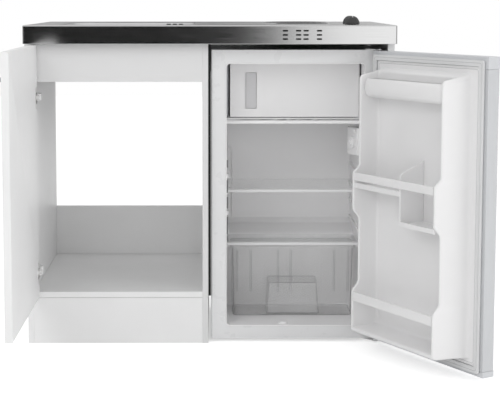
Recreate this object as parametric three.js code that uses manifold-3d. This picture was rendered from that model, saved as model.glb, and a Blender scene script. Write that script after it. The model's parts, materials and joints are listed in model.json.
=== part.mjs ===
// A compact kitchen unit: a stainless worktop with a sink bowl and two cast-iron hotplates, carried by a
// white sink cabinet on the left and a support board on the right, with a small refrigerator between them.
// Both doors stand open. Millimetres, +X to the viewer's right, +Y to the wall, +Z up.
// The origin is on the floor, in the middle of the foot of the cabinet side next to the refrigerator.
import * as THREE from "three";
import { mergeVertices } from "three/addons/utils/BufferGeometryUtils.js";
import Module from "manifold-3d";

const wasm = await Module();
wasm.setup();

// ---------------------------------------------------------------- driving dimensions
const UNIT_WIDTH = 1000; // worktop, left to right
const UNIT_HEIGHT = 873; // floor to the top face of the worktop
const CARCASS_DEPTH = 560;
const FRONT_OVERHANG = 35; // worktop ahead of the carcass
const REAR_OVERHANG = 5;
const SKIRT_HEIGHT = 50; // folded front edge of the worktop
const SHEET = 1.2; // worktop and bowl sheet
const SKIRT_FLANGE = 18; // inward return under the skirt
const WORKTOP_CORNER = 5;

const BOARD = 16; // cabinet boards
const CABINET_WIDTH = 495;
const SHELF_TOP = 144; // top face of the cabinet floor
const RAIL_HEIGHT = 103; // front and rear top rails
const BACK_STRIP_TOP = 296;
const SUPPORT_BOARD = 19;
const SUPPORT_INSET = 0.5; // support board inside the worktop's right end
const SUPPORT_CLEARANCE = 8.7; // support board behind everything the turning door reaches
const PLINTH_SETBACK = 1;
const PLINTH_JOINT = 1; // shadow gap between plinth and cabinet floor

const BOWL_WIDTH = 370;
const BOWL_LENGTH = 400; // front to back
const BOWL_DEPTH = 130;
const BOWL_CORNER = 70;
const BOWL_TO_FRONT = 75; // bowl behind the worktop's front
const BOWL_TO_CABINET_SIDE = 22; // bowl inside the cabinet's middle side
const BOWL_DRAFT = 16; // the floor is this much smaller on each side
const BOWL_FLANGE = 9; // lip that overlaps the worktop cut-out from below
const WASTE_RADIUS = 40;

const PLATE_X = 269;
const REAR_PLATE_RADIUS = 90;
const FRONT_PLATE_RADIUS = 72.5;
const REAR_PLATE_TO_FRONT = 415;
const FRONT_PLATE_TO_FRONT = 175;
const PLATE_RISE = 3.5;
const TRIM_RING = 7;
const PLATE_BODY = 22; // plate body below the worktop
const PAN_DEPTH = 42;
const PAN_SHEET = 1;

const CONTROL_X = 400;
const CONTROL_TO_FRONT = [80, 138];
const CONTROL_RADIUS = 20;
const CONTROL_HEIGHT = 23;
const SPINDLE_RADIUS = 3;

const SLOT_ROWS = [36.6, 25.5, 14.4]; // vent slots below the worktop's top face
const SLOT_COLUMNS = [213.8, 249.1, 269.1, 304.8];
const SLOT_LENGTH = 13.8;
const SLOT_HEIGHT = 3.6;

const DOOR_BOARD = 19;
const DOOR_BOTTOM = 131;
const DOOR_TOP_GAP = 3; // sink door below the worktop
const DOOR_SIDE_GAP = 2; // closed door inside the cabinet's outer faces
const DOOR_FACE_GAP = 2; // closed door ahead of the carcass

const FRIDGE_WIDTH = 460;
const FRIDGE_GAP = 7.5; // between cabinet and refrigerator
const FRIDGE_SETBACK = 15; // casing front behind the carcass front
const FRIDGE_DEPTH = 415;
const FRIDGE_BOTTOM = 10;
const FRIDGE_TO_SKIRT = 17; // open slit over the refrigerator
const CASING_SIDE = 39.8; // width of the front frame at the sides
const CASING_TOP = 35;
const CASING_BOTTOM = 34;
const COMPARTMENT_DEPTH = 357;
const LINER_WALL = 2.5;
const FIT = 0.3; // clearance between moulded pieces
const HUMP_DEPTH = 251; // front of the compressor step, behind the casing front
const HUMP_TOP = 275;

const FREEZER_SETBACK = 85; // freezer flap behind the casing front
const FREEZER_FLAP = 14;
const FREEZER_TO_TOP = 40; // freezer flap below the casing's top
const FREEZER_HEIGHT = 150;
const DRIP_TRAY_HEIGHT = 20; // from its floor to the freezer flap
const SHELF_SETBACK = 102; // shelves behind the casing front
const CRISPER_COVER_SHARE = 0.3755; // shelf heights as shares of the room under the drip tray
const RIB_SHARES = [0.461, 0.5557, 0.6504, 0.7451];
const UPPER_SHELF_RIB = 2; // the rib that carries the upper shelf
const GLASS = 4;
const SHELF_SIDE_GAP = 2.5;

const LEAF_WIDTH = 458; // refrigerator door
const LEAF_THICKNESS = 38;
const LEAF_BOTTOM = 16;
const LEAF_TOP_GAP = 1.5; // refrigerator door below the casing's top
const LEAF_GAP = 8; // door panel to casing, taken up by the gasket
const LEAF_OPEN = 120; // degrees
const LEAF_LIMIT = 130; // widest opening
const PIVOT_INSET = 8; // hinge axis inside the door's side edge
const PIVOT_DEPTH = 12; // hinge axis ahead of the door's inner face
const PIN_RADIUS = 3;
const TOP_CAP = 30;
const BOTTOM_CAP = 15;

// ---------------------------------------------------------------- derived reference planes
const FRONT = -CARCASS_DEPTH / 2;
const BACK = CARCASS_DEPTH / 2;
const CABINET_RIGHT = BOARD / 2;
const CABINET_LEFT = CABINET_RIGHT - CABINET_WIDTH;
const INNER_LEFT = CABINET_LEFT + BOARD;
const INNER_RIGHT = CABINET_RIGHT - BOARD;
const WORKTOP_LEFT = CABINET_LEFT;
const WORKTOP_RIGHT = WORKTOP_LEFT + UNIT_WIDTH;
const WORKTOP_FRONT = FRONT - FRONT_OVERHANG;
const WORKTOP_BACK = BACK + REAR_OVERHANG;
const SKIRT_BOTTOM = UNIT_HEIGHT - SKIRT_HEIGHT;
const UNDERSIDE = UNIT_HEIGHT - SHEET;
const FRIDGE_LEFT = CABINET_RIGHT + FRIDGE_GAP;
const FRIDGE_RIGHT = FRIDGE_LEFT + FRIDGE_WIDTH;
const CASING_FRONT = FRONT + FRIDGE_SETBACK;
const CASING_BACK = CASING_FRONT + FRIDGE_DEPTH;
const SUPPORT_RIGHT = WORKTOP_RIGHT - SUPPORT_INSET;
const SUPPORT_LEFT = SUPPORT_RIGHT - SUPPORT_BOARD;
const FRIDGE_TOP = SKIRT_BOTTOM - FRIDGE_TO_SKIRT;
const LEAF_TOP = FRIDGE_TOP - LEAF_TOP_GAP;
const FREEZER_TOP = FRIDGE_TOP - FREEZER_TO_TOP;
const FREEZER_BOTTOM = FREEZER_TOP - FREEZER_HEIGHT;
const DRIP_TRAY_BOTTOM = FREEZER_BOTTOM - DRIP_TRAY_HEIGHT;
const ROOM_LEFT = FRIDGE_LEFT + CASING_SIDE + LINER_WALL + FIT; // inner faces of the liner
const ROOM_RIGHT = FRIDGE_RIGHT - CASING_SIDE - LINER_WALL - FIT;
const ROOM_FLOOR = FRIDGE_BOTTOM + CASING_BOTTOM + LINER_WALL + FIT;
const ROOM_CEILING = FRIDGE_TOP - CASING_TOP - LINER_WALL - FIT;
const ROOM_BACK = CASING_FRONT + COMPARTMENT_DEPTH;
const PIVOT_X = FRIDGE_RIGHT - 1 - PIVOT_INSET; // hinge axis of the refrigerator door
const PIVOT_Y = CASING_FRONT - LEAF_GAP - PIVOT_DEPTH;
const shelfHeight = (share) => Math.round(ROOM_FLOOR + share * (DRIP_TRAY_BOTTOM - ROOM_FLOOR));
const RIB_TOPS = RIB_SHARES.map(shelfHeight);
const UPPER_SHELF_Z = RIB_TOPS[UPPER_SHELF_RIB];
const CRISPER_COVER_Z = shelfHeight(CRISPER_COVER_SHARE);

// ---------------------------------------------------------------- finishes
const look = (colour, roughness, metalness = 0, opacity = 1) =>
  new THREE.MeshStandardMaterial({ color: colour, roughness, metalness, opacity, transparent: opacity < 1 });
const STEEL = look(0xb9bbbd, 0.35, 1);
const GALVANISED = look(0x55585b, 0.6, 0.8);
const NICKEL = look(0xd5d6d6, 0.25, 1);
const CAST_IRON = look(0x222325, 0.7, 0.3);
const WHITE_BOARD = look(0xe6e7e8, 0.45);
const WHITE_ENAMEL = look(0xe4e6e8, 0.3);
const WHITE_PLASTIC = look(0xdfe2e4, 0.4);
const ALUMINIUM = look(0xc8cbcd, 0.4, 0.6);
const GASKET = look(0xd9dcdd, 0.7);
const CLEAR = look(0xd6dcde, 0.1, 0, 0.35);
const BLACK = look(0x151617, 0.6);
const DARK_GREY = look(0x3b3c3e, 0.5);
const GREY_PLASTIC = look(0xa9acaf, 0.5);

// ---------------------------------------------------------------- solids and shapes
const ARC_STEPS = 3;
const ROUND = 20; // sides of a large turned piece

function solidOf(geometry) {
  const bare = geometry.index ? geometry.toNonIndexed() : geometry.clone();
  bare.deleteAttribute("normal");
  bare.deleteAttribute("uv");
  const merged = mergeVertices(bare, 1e-4);
  const corners = new Uint32Array(merged.index.array);
  const build = () =>
    new wasm.Manifold(
      new wasm.Mesh({ numProp: 3, vertProperties: merged.attributes.position.array, triVerts: corners }),
    );
  const made = build();
  if (made.volume() > 0) return made;
  for (let i = 0; i < corners.length; i += 3) {
    [corners[i + 1], corners[i + 2]] = [corners[i + 2], corners[i + 1]];
  }
  return build();
}

function geometryOf(solid) {
  const mesh = solid.getMesh();
  const geometry = new THREE.BufferGeometry();
  geometry.setAttribute("position", new THREE.BufferAttribute(mesh.vertProperties, 3));
  geometry.setIndex(new THREE.BufferAttribute(mesh.triVerts, 1));
  geometry.computeVertexNormals();
  return geometry;
}

function join(...solids) {
  return solids.reduce((all, next) => all.add(next));
}

function cut(body, ...tools) {
  return tools.reduce((left, tool) => left.subtract(tool), body);
}

function piece(parent, name, solid, finish) {
  const mesh = new THREE.Mesh(geometryOf(solid), finish);
  mesh.name = name;
  parent.add(mesh);
  return mesh;
}

// The corners are written as given, so that faces that should touch meet exactly.
function block(x0, x1, y0, y1, z0, z1) {
  const box = new THREE.BoxGeometry(1, 1, 1);
  const corners = box.attributes.position;
  for (let i = 0; i < corners.count; i++) {
    const pick = (value, low, high) => (value < 0 ? low : high);
    corners.setXYZ(
      i, pick(corners.getX(i), x0, x1), pick(corners.getY(i), y0, y1), pick(corners.getZ(i), z0, z1),
    );
  }
  return solidOf(box);
}

// A closed outline from [u, v] corners.
function outline(points) {
  return new THREE.Shape(points.map(([u, v]) => new THREE.Vector2(u, v)));
}

// A rectangle with one radius, or four: lower left, lower right, upper right, upper left.
function roundedRect(u0, u1, v0, v1, radius) {
  const [a, b, c, d] = Array.isArray(radius) ? radius : [radius, radius, radius, radius];
  const shape = new THREE.Shape();
  shape.moveTo(u0 + a, v0);
  shape.lineTo(u1 - b, v0);
  if (b) shape.absarc(u1 - b, v0 + b, b, -Math.PI / 2, 0, false);
  shape.lineTo(u1, v1 - c);
  if (c) shape.absarc(u1 - c, v1 - c, c, 0, Math.PI / 2, false);
  shape.lineTo(u0 + d, v1);
  if (d) shape.absarc(u0 + d, v1 - d, d, Math.PI / 2, Math.PI, false);
  shape.lineTo(u0, v0 + a);
  if (a) shape.absarc(u0 + a, v0 + a, a, Math.PI, Math.PI * 1.5, false);
  return shape;
}

// A shape pushed along an axis: its (u, v) are (x, y) along z, (y, z) along x and (x, z) along y.
const BASES = {
  x: [[0, 1, 0], [0, 0, 1], [1, 0, 0]],
  y: [[1, 0, 0], [0, 0, 1], [0, -1, 0]],
  z: [[1, 0, 0], [0, 1, 0], [0, 0, 1]],
};

function prism(shape, axis, from, to, curveSegments = ARC_STEPS) {
  const geometry = new THREE.ExtrudeGeometry(shape, { depth: to - from, bevelEnabled: false, curveSegments });
  const [u, v, w] = BASES[axis].map((b) => new THREE.Vector3(...b));
  geometry.applyMatrix4(new THREE.Matrix4().makeBasis(u, v, w));
  const places = geometry.attributes.position;
  const component = "xyz".indexOf(axis);
  const [near, far] = axis === "y" ? [to, from] : [from, to];
  for (let i = 0; i < places.count; i++) {
    const beyond = Math.abs(places.getComponent(i, component)) > (to - from) / 2;
    places.setComponent(i, component, beyond ? far : near);
  }
  return solidOf(geometry);
}

// A body of revolution about a vertical line, from [radius, z] corners.
function turned(profile, x, y, sides = ROUND) {
  const points = profile.map(([r, z]) => new THREE.Vector2(r, z));
  return solidOf(new THREE.LatheGeometry(points, sides).rotateX(Math.PI / 2).translate(x, y, 0));
}

function rod(radius, from, to, sides = 16) {
  const a = new THREE.Vector3(...from);
  const b = new THREE.Vector3(...to);
  const along = b.clone().sub(a);
  const geometry = new THREE.CylinderGeometry(radius, radius, along.length(), sides);
  const turn = new THREE.Quaternion().setFromUnitVectors(new THREE.Vector3(0, 1, 0), along.clone().normalize());
  geometry.applyQuaternion(turn);
  const middle = a.add(b).multiplyScalar(0.5);
  return solidOf(geometry.translate(middle.x, middle.y, middle.z));
}

// One level ring of a rounded rectangle, for lofts.
function ring(cx, cy, width, length, radius, z, steps = 3) {
  const points = [];
  const corners = [[1, -1, -0.5], [1, 1, 0], [-1, 1, 0.5], [-1, -1, 1]];
  for (const [sx, sy, quarter] of corners) {
    for (let i = 0; i <= steps; i++) {
      const angle = (quarter + (0.5 * i) / steps) * Math.PI;
      const x = cx + sx * (width / 2 - radius) + radius * Math.cos(angle);
      const y = cy + sy * (length / 2 - radius) + radius * Math.sin(angle);
      points.push(new THREE.Vector3(x, y, z));
    }
  }
  return points;
}

// Skins rings of equal count. Capped rings make a plug, and rings that close on themselves make a hoop.
function loft(rings, hoop = false) {
  const count = rings[0].length;
  const vertices = rings.flat().flatMap((p) => [p.x, p.y, p.z]);
  const faces = [];
  const bands = hoop ? rings.length : rings.length - 1;
  for (let k = 0; k < bands; k++) {
    const next = (k + 1) % rings.length;
    for (let i = 0; i < count; i++) {
      const j = (i + 1) % count;
      const [a, b, c, d] = [k * count + i, k * count + j, next * count + j, next * count + i];
      faces.push(a, b, c, a, c, d);
    }
  }
  if (!hoop) {
    const last = (rings.length - 1) * count;
    for (let i = 1; i < count - 1; i++) faces.push(0, i + 1, i, last, last + i, last + i + 1);
  }
  const geometry = new THREE.BufferGeometry();
  geometry.setAttribute("position", new THREE.Float32BufferAttribute(vertices, 3));
  geometry.setIndex(faces);
  return solidOf(geometry);
}

// Flat bar of constant width along a chain of [u, v] points in the XY plane, with pointed round ends.
function strap(points, halfWidth, z0, z1) {
  const count = points.length;
  const direction = (i) => {
    const [a, b] = [points[Math.max(i, 0)], points[Math.min(i + 1, count - 1)]];
    return new THREE.Vector2(b[0] - a[0], b[1] - a[1]).normalize();
  };
  const left = [];
  const right = [];
  points.forEach(([x, y], i) => {
    const before = direction(Math.max(i - 1, 0));
    const after = direction(Math.min(i, count - 2));
    const middle = before.clone().add(after).normalize();
    const reach = halfWidth / middle.dot(after);
    left.push([x - middle.y * reach, y + middle.x * reach]);
    right.unshift([x + middle.y * reach, y - middle.x * reach]);
  });
  const cap = ([x, y], d) =>
    [-0.7, 0, 0.7].map((k) => [
      x + halfWidth * (d.x * Math.cos(k) - d.y * Math.sin(-k)),
      y + halfWidth * (d.y * Math.cos(k) + d.x * Math.sin(-k)),
    ]);
  const end = cap(points[count - 1], direction(count - 2));
  const start = cap(points[0], direction(0).negate());
  return prism(outline([...left, ...end, ...right, ...start]), "z", z0, z1);
}

const unit = new THREE.Group();

// ---------------------------------------------------------------- cabinet boards
function boardEdges(x0, x1, y0, y1, z0, z1, radius = 0.8) {
  return prism(roundedRect(x0, x1, y0, y1, radius), "z", z0, z1, 1);
}

// How far behind its hinge axis the refrigerator door reaches, at this distance to the axis's right: the
// outer hinge-side corner on its arc, or the outer face at the widest opening.
function leafReachBeyond(right) {
  const faceDistance = LEAF_THICKNESS - PIVOT_DEPTH;
  const cornerRadius = Math.hypot(PIVOT_INSET, faceDistance);
  const arc = Math.sqrt(Math.max(0, cornerRadius ** 2 - right ** 2));
  const turn = (LEAF_LIMIT * Math.PI) / 180;
  const face = (faceDistance - Math.sin(turn) * right) / -Math.cos(turn);
  return Math.max(arc, face);
}

function makeCarcass() {
  const top = SKIRT_BOTTOM;
  const railBottom = top - RAIL_HEIGHT;
  piece(unit, "side_panel_left", boardEdges(CABINET_LEFT, INNER_LEFT, FRONT, BACK, 0, top), WHITE_BOARD);
  piece(unit, "side_panel_middle", boardEdges(INNER_RIGHT, CABINET_RIGHT, FRONT, BACK, 0, top), WHITE_BOARD);
  const supportFront = PIVOT_Y + leafReachBeyond(SUPPORT_LEFT - PIVOT_X) + SUPPORT_CLEARANCE;
  const support = boardEdges(SUPPORT_LEFT, SUPPORT_RIGHT, supportFront, BACK, 0, top);
  piece(unit, "side_panel_right", support, WHITE_BOARD);
  const floor = block(INNER_LEFT, INNER_RIGHT, FRONT, BACK, SHELF_TOP - BOARD, SHELF_TOP);
  piece(unit, "cabinet_floor", floor, WHITE_BOARD);
  const plinthFront = FRONT + PLINTH_SETBACK;
  const plinthTop = SHELF_TOP - BOARD - PLINTH_JOINT;
  const plinth = block(INNER_LEFT, INNER_RIGHT, plinthFront, plinthFront + BOARD, 0, plinthTop);
  piece(unit, "plinth_board", plinth, WHITE_BOARD);
  piece(unit, "front_rail", block(INNER_LEFT, INNER_RIGHT, FRONT, FRONT + BOARD, railBottom, top), WHITE_BOARD);
  piece(unit, "rear_rail", block(INNER_LEFT, INNER_RIGHT, BACK - BOARD, BACK, railBottom, top), WHITE_BOARD);
  const strip = block(INNER_LEFT, INNER_RIGHT, BACK - BOARD, BACK, SHELF_TOP, BACK_STRIP_TOP);
  piece(unit, "back_strip", strip, WHITE_BOARD);
  const niche = block(CABINET_RIGHT, SUPPORT_LEFT, BACK - BOARD, BACK, railBottom, top);
  piece(unit, "niche_rail", niche, WHITE_BOARD);
}

// Dark U-section that closes the slit between cabinet and refrigerator.
function makeGapStrip() {
  const width = FRIDGE_GAP - 0.5;
  const depth = 20;
  const wall = 1.5;
  const front = FRONT + 8;
  const [x0, x1] = [CABINET_RIGHT, CABINET_RIGHT + width];
  const section = outline([
    [x0, front], [x1, front], [x1, front + depth], [x1 - wall, front + depth],
    [x1 - wall, front + wall], [x0 + wall, front + wall], [x0 + wall, front + depth], [x0, front + depth],
  ]);
  piece(unit, "gap_strip", prism(section, "z", DOOR_BOTTOM, SKIRT_BOTTOM), BLACK);
}

// ---------------------------------------------------------------- worktop, bowl and hob
const BOWL_X = INNER_RIGHT - BOWL_TO_CABINET_SIDE - BOWL_WIDTH / 2;
const BOWL_Y = WORKTOP_FRONT + BOWL_TO_FRONT + BOWL_LENGTH / 2;
const OVERFLOW_X = BOWL_X + 130;
const OVERFLOW_WIDTH = 74;
const OVERFLOW_TOP = UNIT_HEIGHT - 7;
const OVERFLOW_HEIGHT = 4;
const HOTPLATES = [
  { place: "rear", radius: REAR_PLATE_RADIUS, y: WORKTOP_FRONT + REAR_PLATE_TO_FRONT },
  { place: "front", radius: FRONT_PLATE_RADIUS, y: WORKTOP_FRONT + FRONT_PLATE_TO_FRONT },
];
const CONTROLS = [
  { place: "front", y: WORKTOP_FRONT + CONTROL_TO_FRONT[0] },
  { place: "rear", y: WORKTOP_FRONT + CONTROL_TO_FRONT[1] },
];

function makeWorktop() {
  const inset = (d, r) =>
    roundedRect(WORKTOP_LEFT + d, WORKTOP_RIGHT - d, WORKTOP_FRONT + d, WORKTOP_BACK - d, r);
  const outer = prism(inset(0, WORKTOP_CORNER), "z", SKIRT_BOTTOM, UNIT_HEIGHT);
  const hollow = prism(inset(SHEET, WORKTOP_CORNER - SHEET), "z", SKIRT_BOTTOM + SHEET, UNDERSIDE);
  const opening = prism(inset(SKIRT_FLANGE, 2), "z", SKIRT_BOTTOM - 1, SKIRT_BOTTOM + SHEET + 1);
  const halfWidth = BOWL_WIDTH / 2;
  const halfLength = BOWL_LENGTH / 2;
  const bowlCut = roundedRect(
    BOWL_X - halfWidth, BOWL_X + halfWidth, BOWL_Y - halfLength, BOWL_Y + halfLength, BOWL_CORNER,
  );
  const cuts = [hollow, opening, prism(bowlCut, "z", UNDERSIDE - 1, UNIT_HEIGHT + 1)];
  for (const { radius, y } of HOTPLATES) {
    const r = radius + 1;
    const hole = [[0, UNDERSIDE - 1], [r, UNDERSIDE - 1], [r, UNIT_HEIGHT + 1], [0, UNIT_HEIGHT + 1]];
    cuts.push(turned(hole, PLATE_X, y));
  }
  for (const { y } of CONTROLS) {
    cuts.push(rod(SPINDLE_RADIUS + 1.5, [CONTROL_X, y, UNDERSIDE - 1], [CONTROL_X, y, UNIT_HEIGHT + 1]));
  }
  for (const drop of SLOT_ROWS) {
    const z = UNIT_HEIGHT - drop;
    for (const x of SLOT_COLUMNS) {
      const slot = roundedRect(
        x - SLOT_LENGTH / 2, x + SLOT_LENGTH / 2, z - SLOT_HEIGHT / 2, z + SLOT_HEIGHT / 2, SLOT_HEIGHT / 3,
      );
      cuts.push(prism(slot, "y", WORKTOP_FRONT - 1, WORKTOP_FRONT + SHEET + 1, 1));
    }
  }
  piece(unit, "worktop", cut(outer, ...cuts), STEEL);
}

// Deep-drawn bowl: a hoop from the flange down the outside, in to the waste hole and back up the inside.
function makeBowl() {
  const rimZ = UNDERSIDE - FIT;
  const floorZ = UNIT_HEIGHT - BOWL_DEPTH;
  const fall = 4; // the floor falls this much to the waste
  const level = (drop, shrink, radius, grow) =>
    ring(BOWL_X, BOWL_Y, BOWL_WIDTH - 2 * shrink + 2 * grow, BOWL_LENGTH - 2 * shrink + 2 * grow,
      radius + grow, rimZ - drop, 4);
  const wallDrop = rimZ - floorZ;
  const rounding = 26; // radius between wall and floor
  const skin = (grow, lift) => {
    const rings = [level(lift, 0, BOWL_CORNER, grow)];
    rings.push(level(wallDrop - rounding, BOWL_DRAFT * 0.8, BOWL_CORNER - 6, grow));
    for (const a of [45, 90]) {
      const angle = (a * Math.PI) / 180;
      const shrink = BOWL_DRAFT * 0.8 + rounding * (1 - Math.cos(angle));
      const drop = wallDrop - rounding + rounding * Math.sin(angle) + grow;
      rings.push(level(drop, shrink, BOWL_CORNER - 6 - rounding * 0.5 * (1 - Math.cos(angle)), grow));
    }
    const hole = 2 * WASTE_RADIUS;
    rings.push(ring(BOWL_X, BOWL_Y, hole, hole, WASTE_RADIUS - 0.5, floorZ - fall - grow, 4));
    return rings;
  };
  const flange = ring(BOWL_X, BOWL_Y, BOWL_WIDTH + 2 * BOWL_FLANGE, BOWL_LENGTH + 2 * BOWL_FLANGE,
    BOWL_CORNER + BOWL_FLANGE, rimZ, 4);
  const under = flange.map((p) => p.clone().setZ(rimZ - SHEET));
  const inside = skin(0, 0);
  const outside = skin(SHEET, SHEET);
  let bowl = loft([flange, under, ...outside, ...inside.reverse()], true);
  const slots = 4;
  const pitch = OVERFLOW_WIDTH / slots;
  for (let i = 0; i < slots; i++) {
    const x = OVERFLOW_X - OVERFLOW_WIDTH / 2 + pitch * (i + 0.5);
    const half = pitch * 0.36;
    const slot = roundedRect(x - half, x + half, OVERFLOW_TOP - OVERFLOW_HEIGHT, OVERFLOW_TOP, 1.8);
    bowl = bowl.subtract(prism(slot, "y", BOWL_Y + BOWL_LENGTH / 2 - 9, BOWL_Y + BOWL_LENGTH / 2 + 9, 3));
  }
  piece(unit, "sink_bowl", bowl, STEEL);
}

// Basket strainer: a flanged cup with a slotted floor and a short tail.
function makeWaste() {
  const seat = UNIT_HEIGHT - BOWL_DEPTH - 4;
  const cup = WASTE_RADIUS - 3;
  const tail = 20;
  const tailEnd = seat - 30;
  const body = turned(
    [
      [tail - 3, tailEnd], [tail, tailEnd], [tail, seat - 22], [cup, seat - 16], [cup, seat + FIT],
      [WASTE_RADIUS + 3, seat + FIT], [WASTE_RADIUS + 3, seat + 1.8], [cup - 2, seat + 1.8],
      [cup - 2, seat - 14], [tail - 3, seat - 19], [tail - 3, tailEnd],
    ],
    BOWL_X, BOWL_Y, 16,
  );
  const disc = [[0, seat - 12], [cup - 1, seat - 12], [cup - 1, seat - 10], [0, seat - 10]];
  let grate = turned(disc, BOWL_X, BOWL_Y, 16);
  const holes = 6;
  for (let i = 0; i < holes; i++) {
    const a = (i / holes) * Math.PI * 2;
    const [x, y] = [BOWL_X + 20 * Math.cos(a), BOWL_Y + 20 * Math.sin(a)];
    grate = grate.subtract(rod(4.5, [x, y, seat - 14], [x, y, seat - 8], 6));
  }
  piece(unit, "sink_waste", join(body, grate), NICKEL);
}

// Plastic box behind the overflow slots, and the pipe from it to the waste.
function makeOverflow() {
  const wallY = BOWL_Y + BOWL_LENGTH / 2 + SHEET + 1;
  const [x0, x1] = [OVERFLOW_X - OVERFLOW_WIDTH / 2 - 4, OVERFLOW_X + OVERFLOW_WIDTH / 2 + 4];
  const [z0, z1] = [UNDERSIDE - 34, UNDERSIDE - SHEET - 2 * FIT];
  const depth = 22;
  const box = prism(roundedRect(x0, x1, z0, z1, 4), "y", wallY, wallY + depth, 3);
  const inside = prism(roundedRect(x0 + 2, x1 - 2, z0 + 2, z1 - 2, 3), "y", wallY - 1, wallY + depth - 2, 3);
  const pipeRadius = 10;
  const pipeY = wallY + depth / 2 + 1;
  const stubEnd = z0 - 12;
  const stub = rod(pipeRadius - 1, [OVERFLOW_X, pipeY, stubEnd], [OVERFLOW_X, pipeY, z0 + 1]);
  const bore = rod(pipeRadius - 3, [OVERFLOW_X, pipeY, stubEnd - 1], [OVERFLOW_X, pipeY, z0 + 3]);
  piece(unit, "overflow_box", cut(join(cut(box, inside), stub), bore), DARK_GREY);
}

function makeHotplates() {
  for (const { place, radius, y } of HOTPLATES) {
    const top = UNIT_HEIGHT + PLATE_RISE;
    const low = UNIT_HEIGHT - PLATE_BODY;
    const well = radius * 0.22; // shallow recess in the middle
    const grooves = [];
    const grooveCount = 1;
    for (let i = 1; i <= grooveCount; i++) {
      const r = radius - 6 - i * 7;
      grooves.push([r + 0.9, top], [r, top - 0.7], [r - 0.9, top]);
    }
    const plate = [
      [0, low + 6], [radius - 14, low + 6], [radius - 12, low], [radius - 4, low],
      [radius - 3, UNIT_HEIGHT + 0.4], [radius, UNIT_HEIGHT + 1.2], [radius, top - 0.8], [radius - 0.8, top],
      ...grooves,
      [well, top], [well - 2, top - 1.2], [0, top - 1.2],
    ];
    piece(unit, `hotplate_${place}`, turned(plate, PLATE_X, y, 24), CAST_IRON);
    const outer = radius + TRIM_RING;
    const rim = [
      [radius + FIT, UNIT_HEIGHT], [outer, UNIT_HEIGHT], [outer - 1, UNIT_HEIGHT + 0.8],
      [radius + 2, UNIT_HEIGHT + 2], [radius + FIT, UNIT_HEIGHT + 2], [radius + FIT, UNIT_HEIGHT],
    ];
    piece(unit, `hotplate_rim_${place}`, turned(rim, PLATE_X, y, 24), STEEL);
  }
}

// Open-topped pan under the plates, hung from the worktop sheet by its flange.
function makeHobPan() {
  const [x0, x1] = [PLATE_X - 118, CONTROL_X + 42];
  const [y0, y1] = [WORKTOP_FRONT + SKIRT_FLANGE + 12, WORKTOP_FRONT + REAR_PLATE_TO_FRONT + 118];
  const top = UNDERSIDE;
  const low = UNDERSIDE - PAN_DEPTH;
  const flange = prism(roundedRect(x0, x1, y0, y1, 10), "z", top - PAN_SHEET, top);
  const shell = prism(roundedRect(x0 + 12, x1 - 12, y0 + 12, y1 - 12, 10), "z", low, top - PAN_SHEET / 2);
  const inside = prism(roundedRect(x0 + 13, x1 - 13, y0 + 13, y1 - 13, 9), "z", low + PAN_SHEET, top + 1);
  const cuts = [inside];
  for (const { radius, y } of HOTPLATES) {
    for (const side of [-1, 1]) {
      const x = PLATE_X + side * radius * 0.3;
      cuts.push(prism(roundedRect(x - 3, x + 3, y - 18, y + 18, 0), "z", low - 1, low + PAN_SHEET + 1, 1));
    }
  }
  let pan = cut(join(flange, shell), ...cuts);
  for (const { radius, y } of HOTPLATES) {
    const plateLow = UNIT_HEIGHT - PLATE_BODY;
    const post = rod(4, [PLATE_X, y, low + PAN_SHEET / 2], [PLATE_X, y, plateLow + 6]);
    const span = radius * 0.7;
    const bar = block(PLATE_X - span, PLATE_X + span, y - 8, y + 8, low + PAN_SHEET / 2, low + PAN_SHEET + 2);
    pan = join(pan, bar, post);
  }
  piece(unit, "hob_pan", pan, GALVANISED);
}

function makeControls() {
  for (const { place, y } of CONTROLS) {
    const half = 21;
    const bodyTop = UNDERSIDE - 4;
    const bodyOutline = roundedRect(CONTROL_X - half, CONTROL_X + half, y - half, y + half, 4);
    const body = prism(bodyOutline, "z", bodyTop - 24, bodyTop);
    const neck = rod(9, [CONTROL_X, y, bodyTop - 1], [CONTROL_X, y, UNDERSIDE - FIT]);
    const spindle = rod(SPINDLE_RADIUS, [CONTROL_X, y, bodyTop], [CONTROL_X, y, UNIT_HEIGHT + 15]);
    const tabs = [-1, 1].map((s) =>
      block(CONTROL_X + s * 12 - 3, CONTROL_X + s * 12 + 3, y - 0.5, y + 0.5, bodyTop - 34, bodyTop - 23));
    piece(unit, `switch_${place}`, join(body, neck, spindle, ...tabs), DARK_GREY);
  }
  for (const { place, y } of CONTROLS) makeKnob(place, y);
}

function makeKnob(place, y) {
  const low = UNIT_HEIGHT + 1;
  const top = low + CONTROL_HEIGHT;
  const r = CONTROL_RADIUS;
  const dome = turned(
    [
      [0, low], [r - 1, low], [r, low + 1], [r, low + 4], [r - 1, low + 8.5], [r - 3.5, low + 14],
      [r - 7.5, low + 18.5], [r - 13, low + 22], [0, top],
    ],
    CONTROL_X, y, 16,
  );
  const bore = rod(SPINDLE_RADIUS + FIT, [CONTROL_X, y, low - 1], [CONTROL_X, y, UNIT_HEIGHT + 16]);
  const hollow = [[7, low - 1], [r - 3, low - 1], [r - 3.5, low + 4], [7, low + 4], [7, low - 1]];
  const recess = turned(hollow, CONTROL_X, y, 16);
  let knob = cut(dome, bore, recess);
  const flutes = 8;
  for (let i = 0; i < flutes; i++) {
    const a = ((i + 0.5) / flutes) * Math.PI * 2;
    const [fx, fy] = [CONTROL_X + (r + 2.2) * Math.cos(a), y + (r + 2.2) * Math.sin(a)];
    knob = knob.subtract(rod(4, [fx, fy, low + 6], [fx, fy, top + 1], 6));
  }
  const mark = block(CONTROL_X - 0.9, CONTROL_X + 0.9, y - r, y - r * 0.35, top - 2.6, top + 1);
  piece(unit, `control_knob_${place}`, knob.subtract(mark), DARK_GREY);
}

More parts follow.
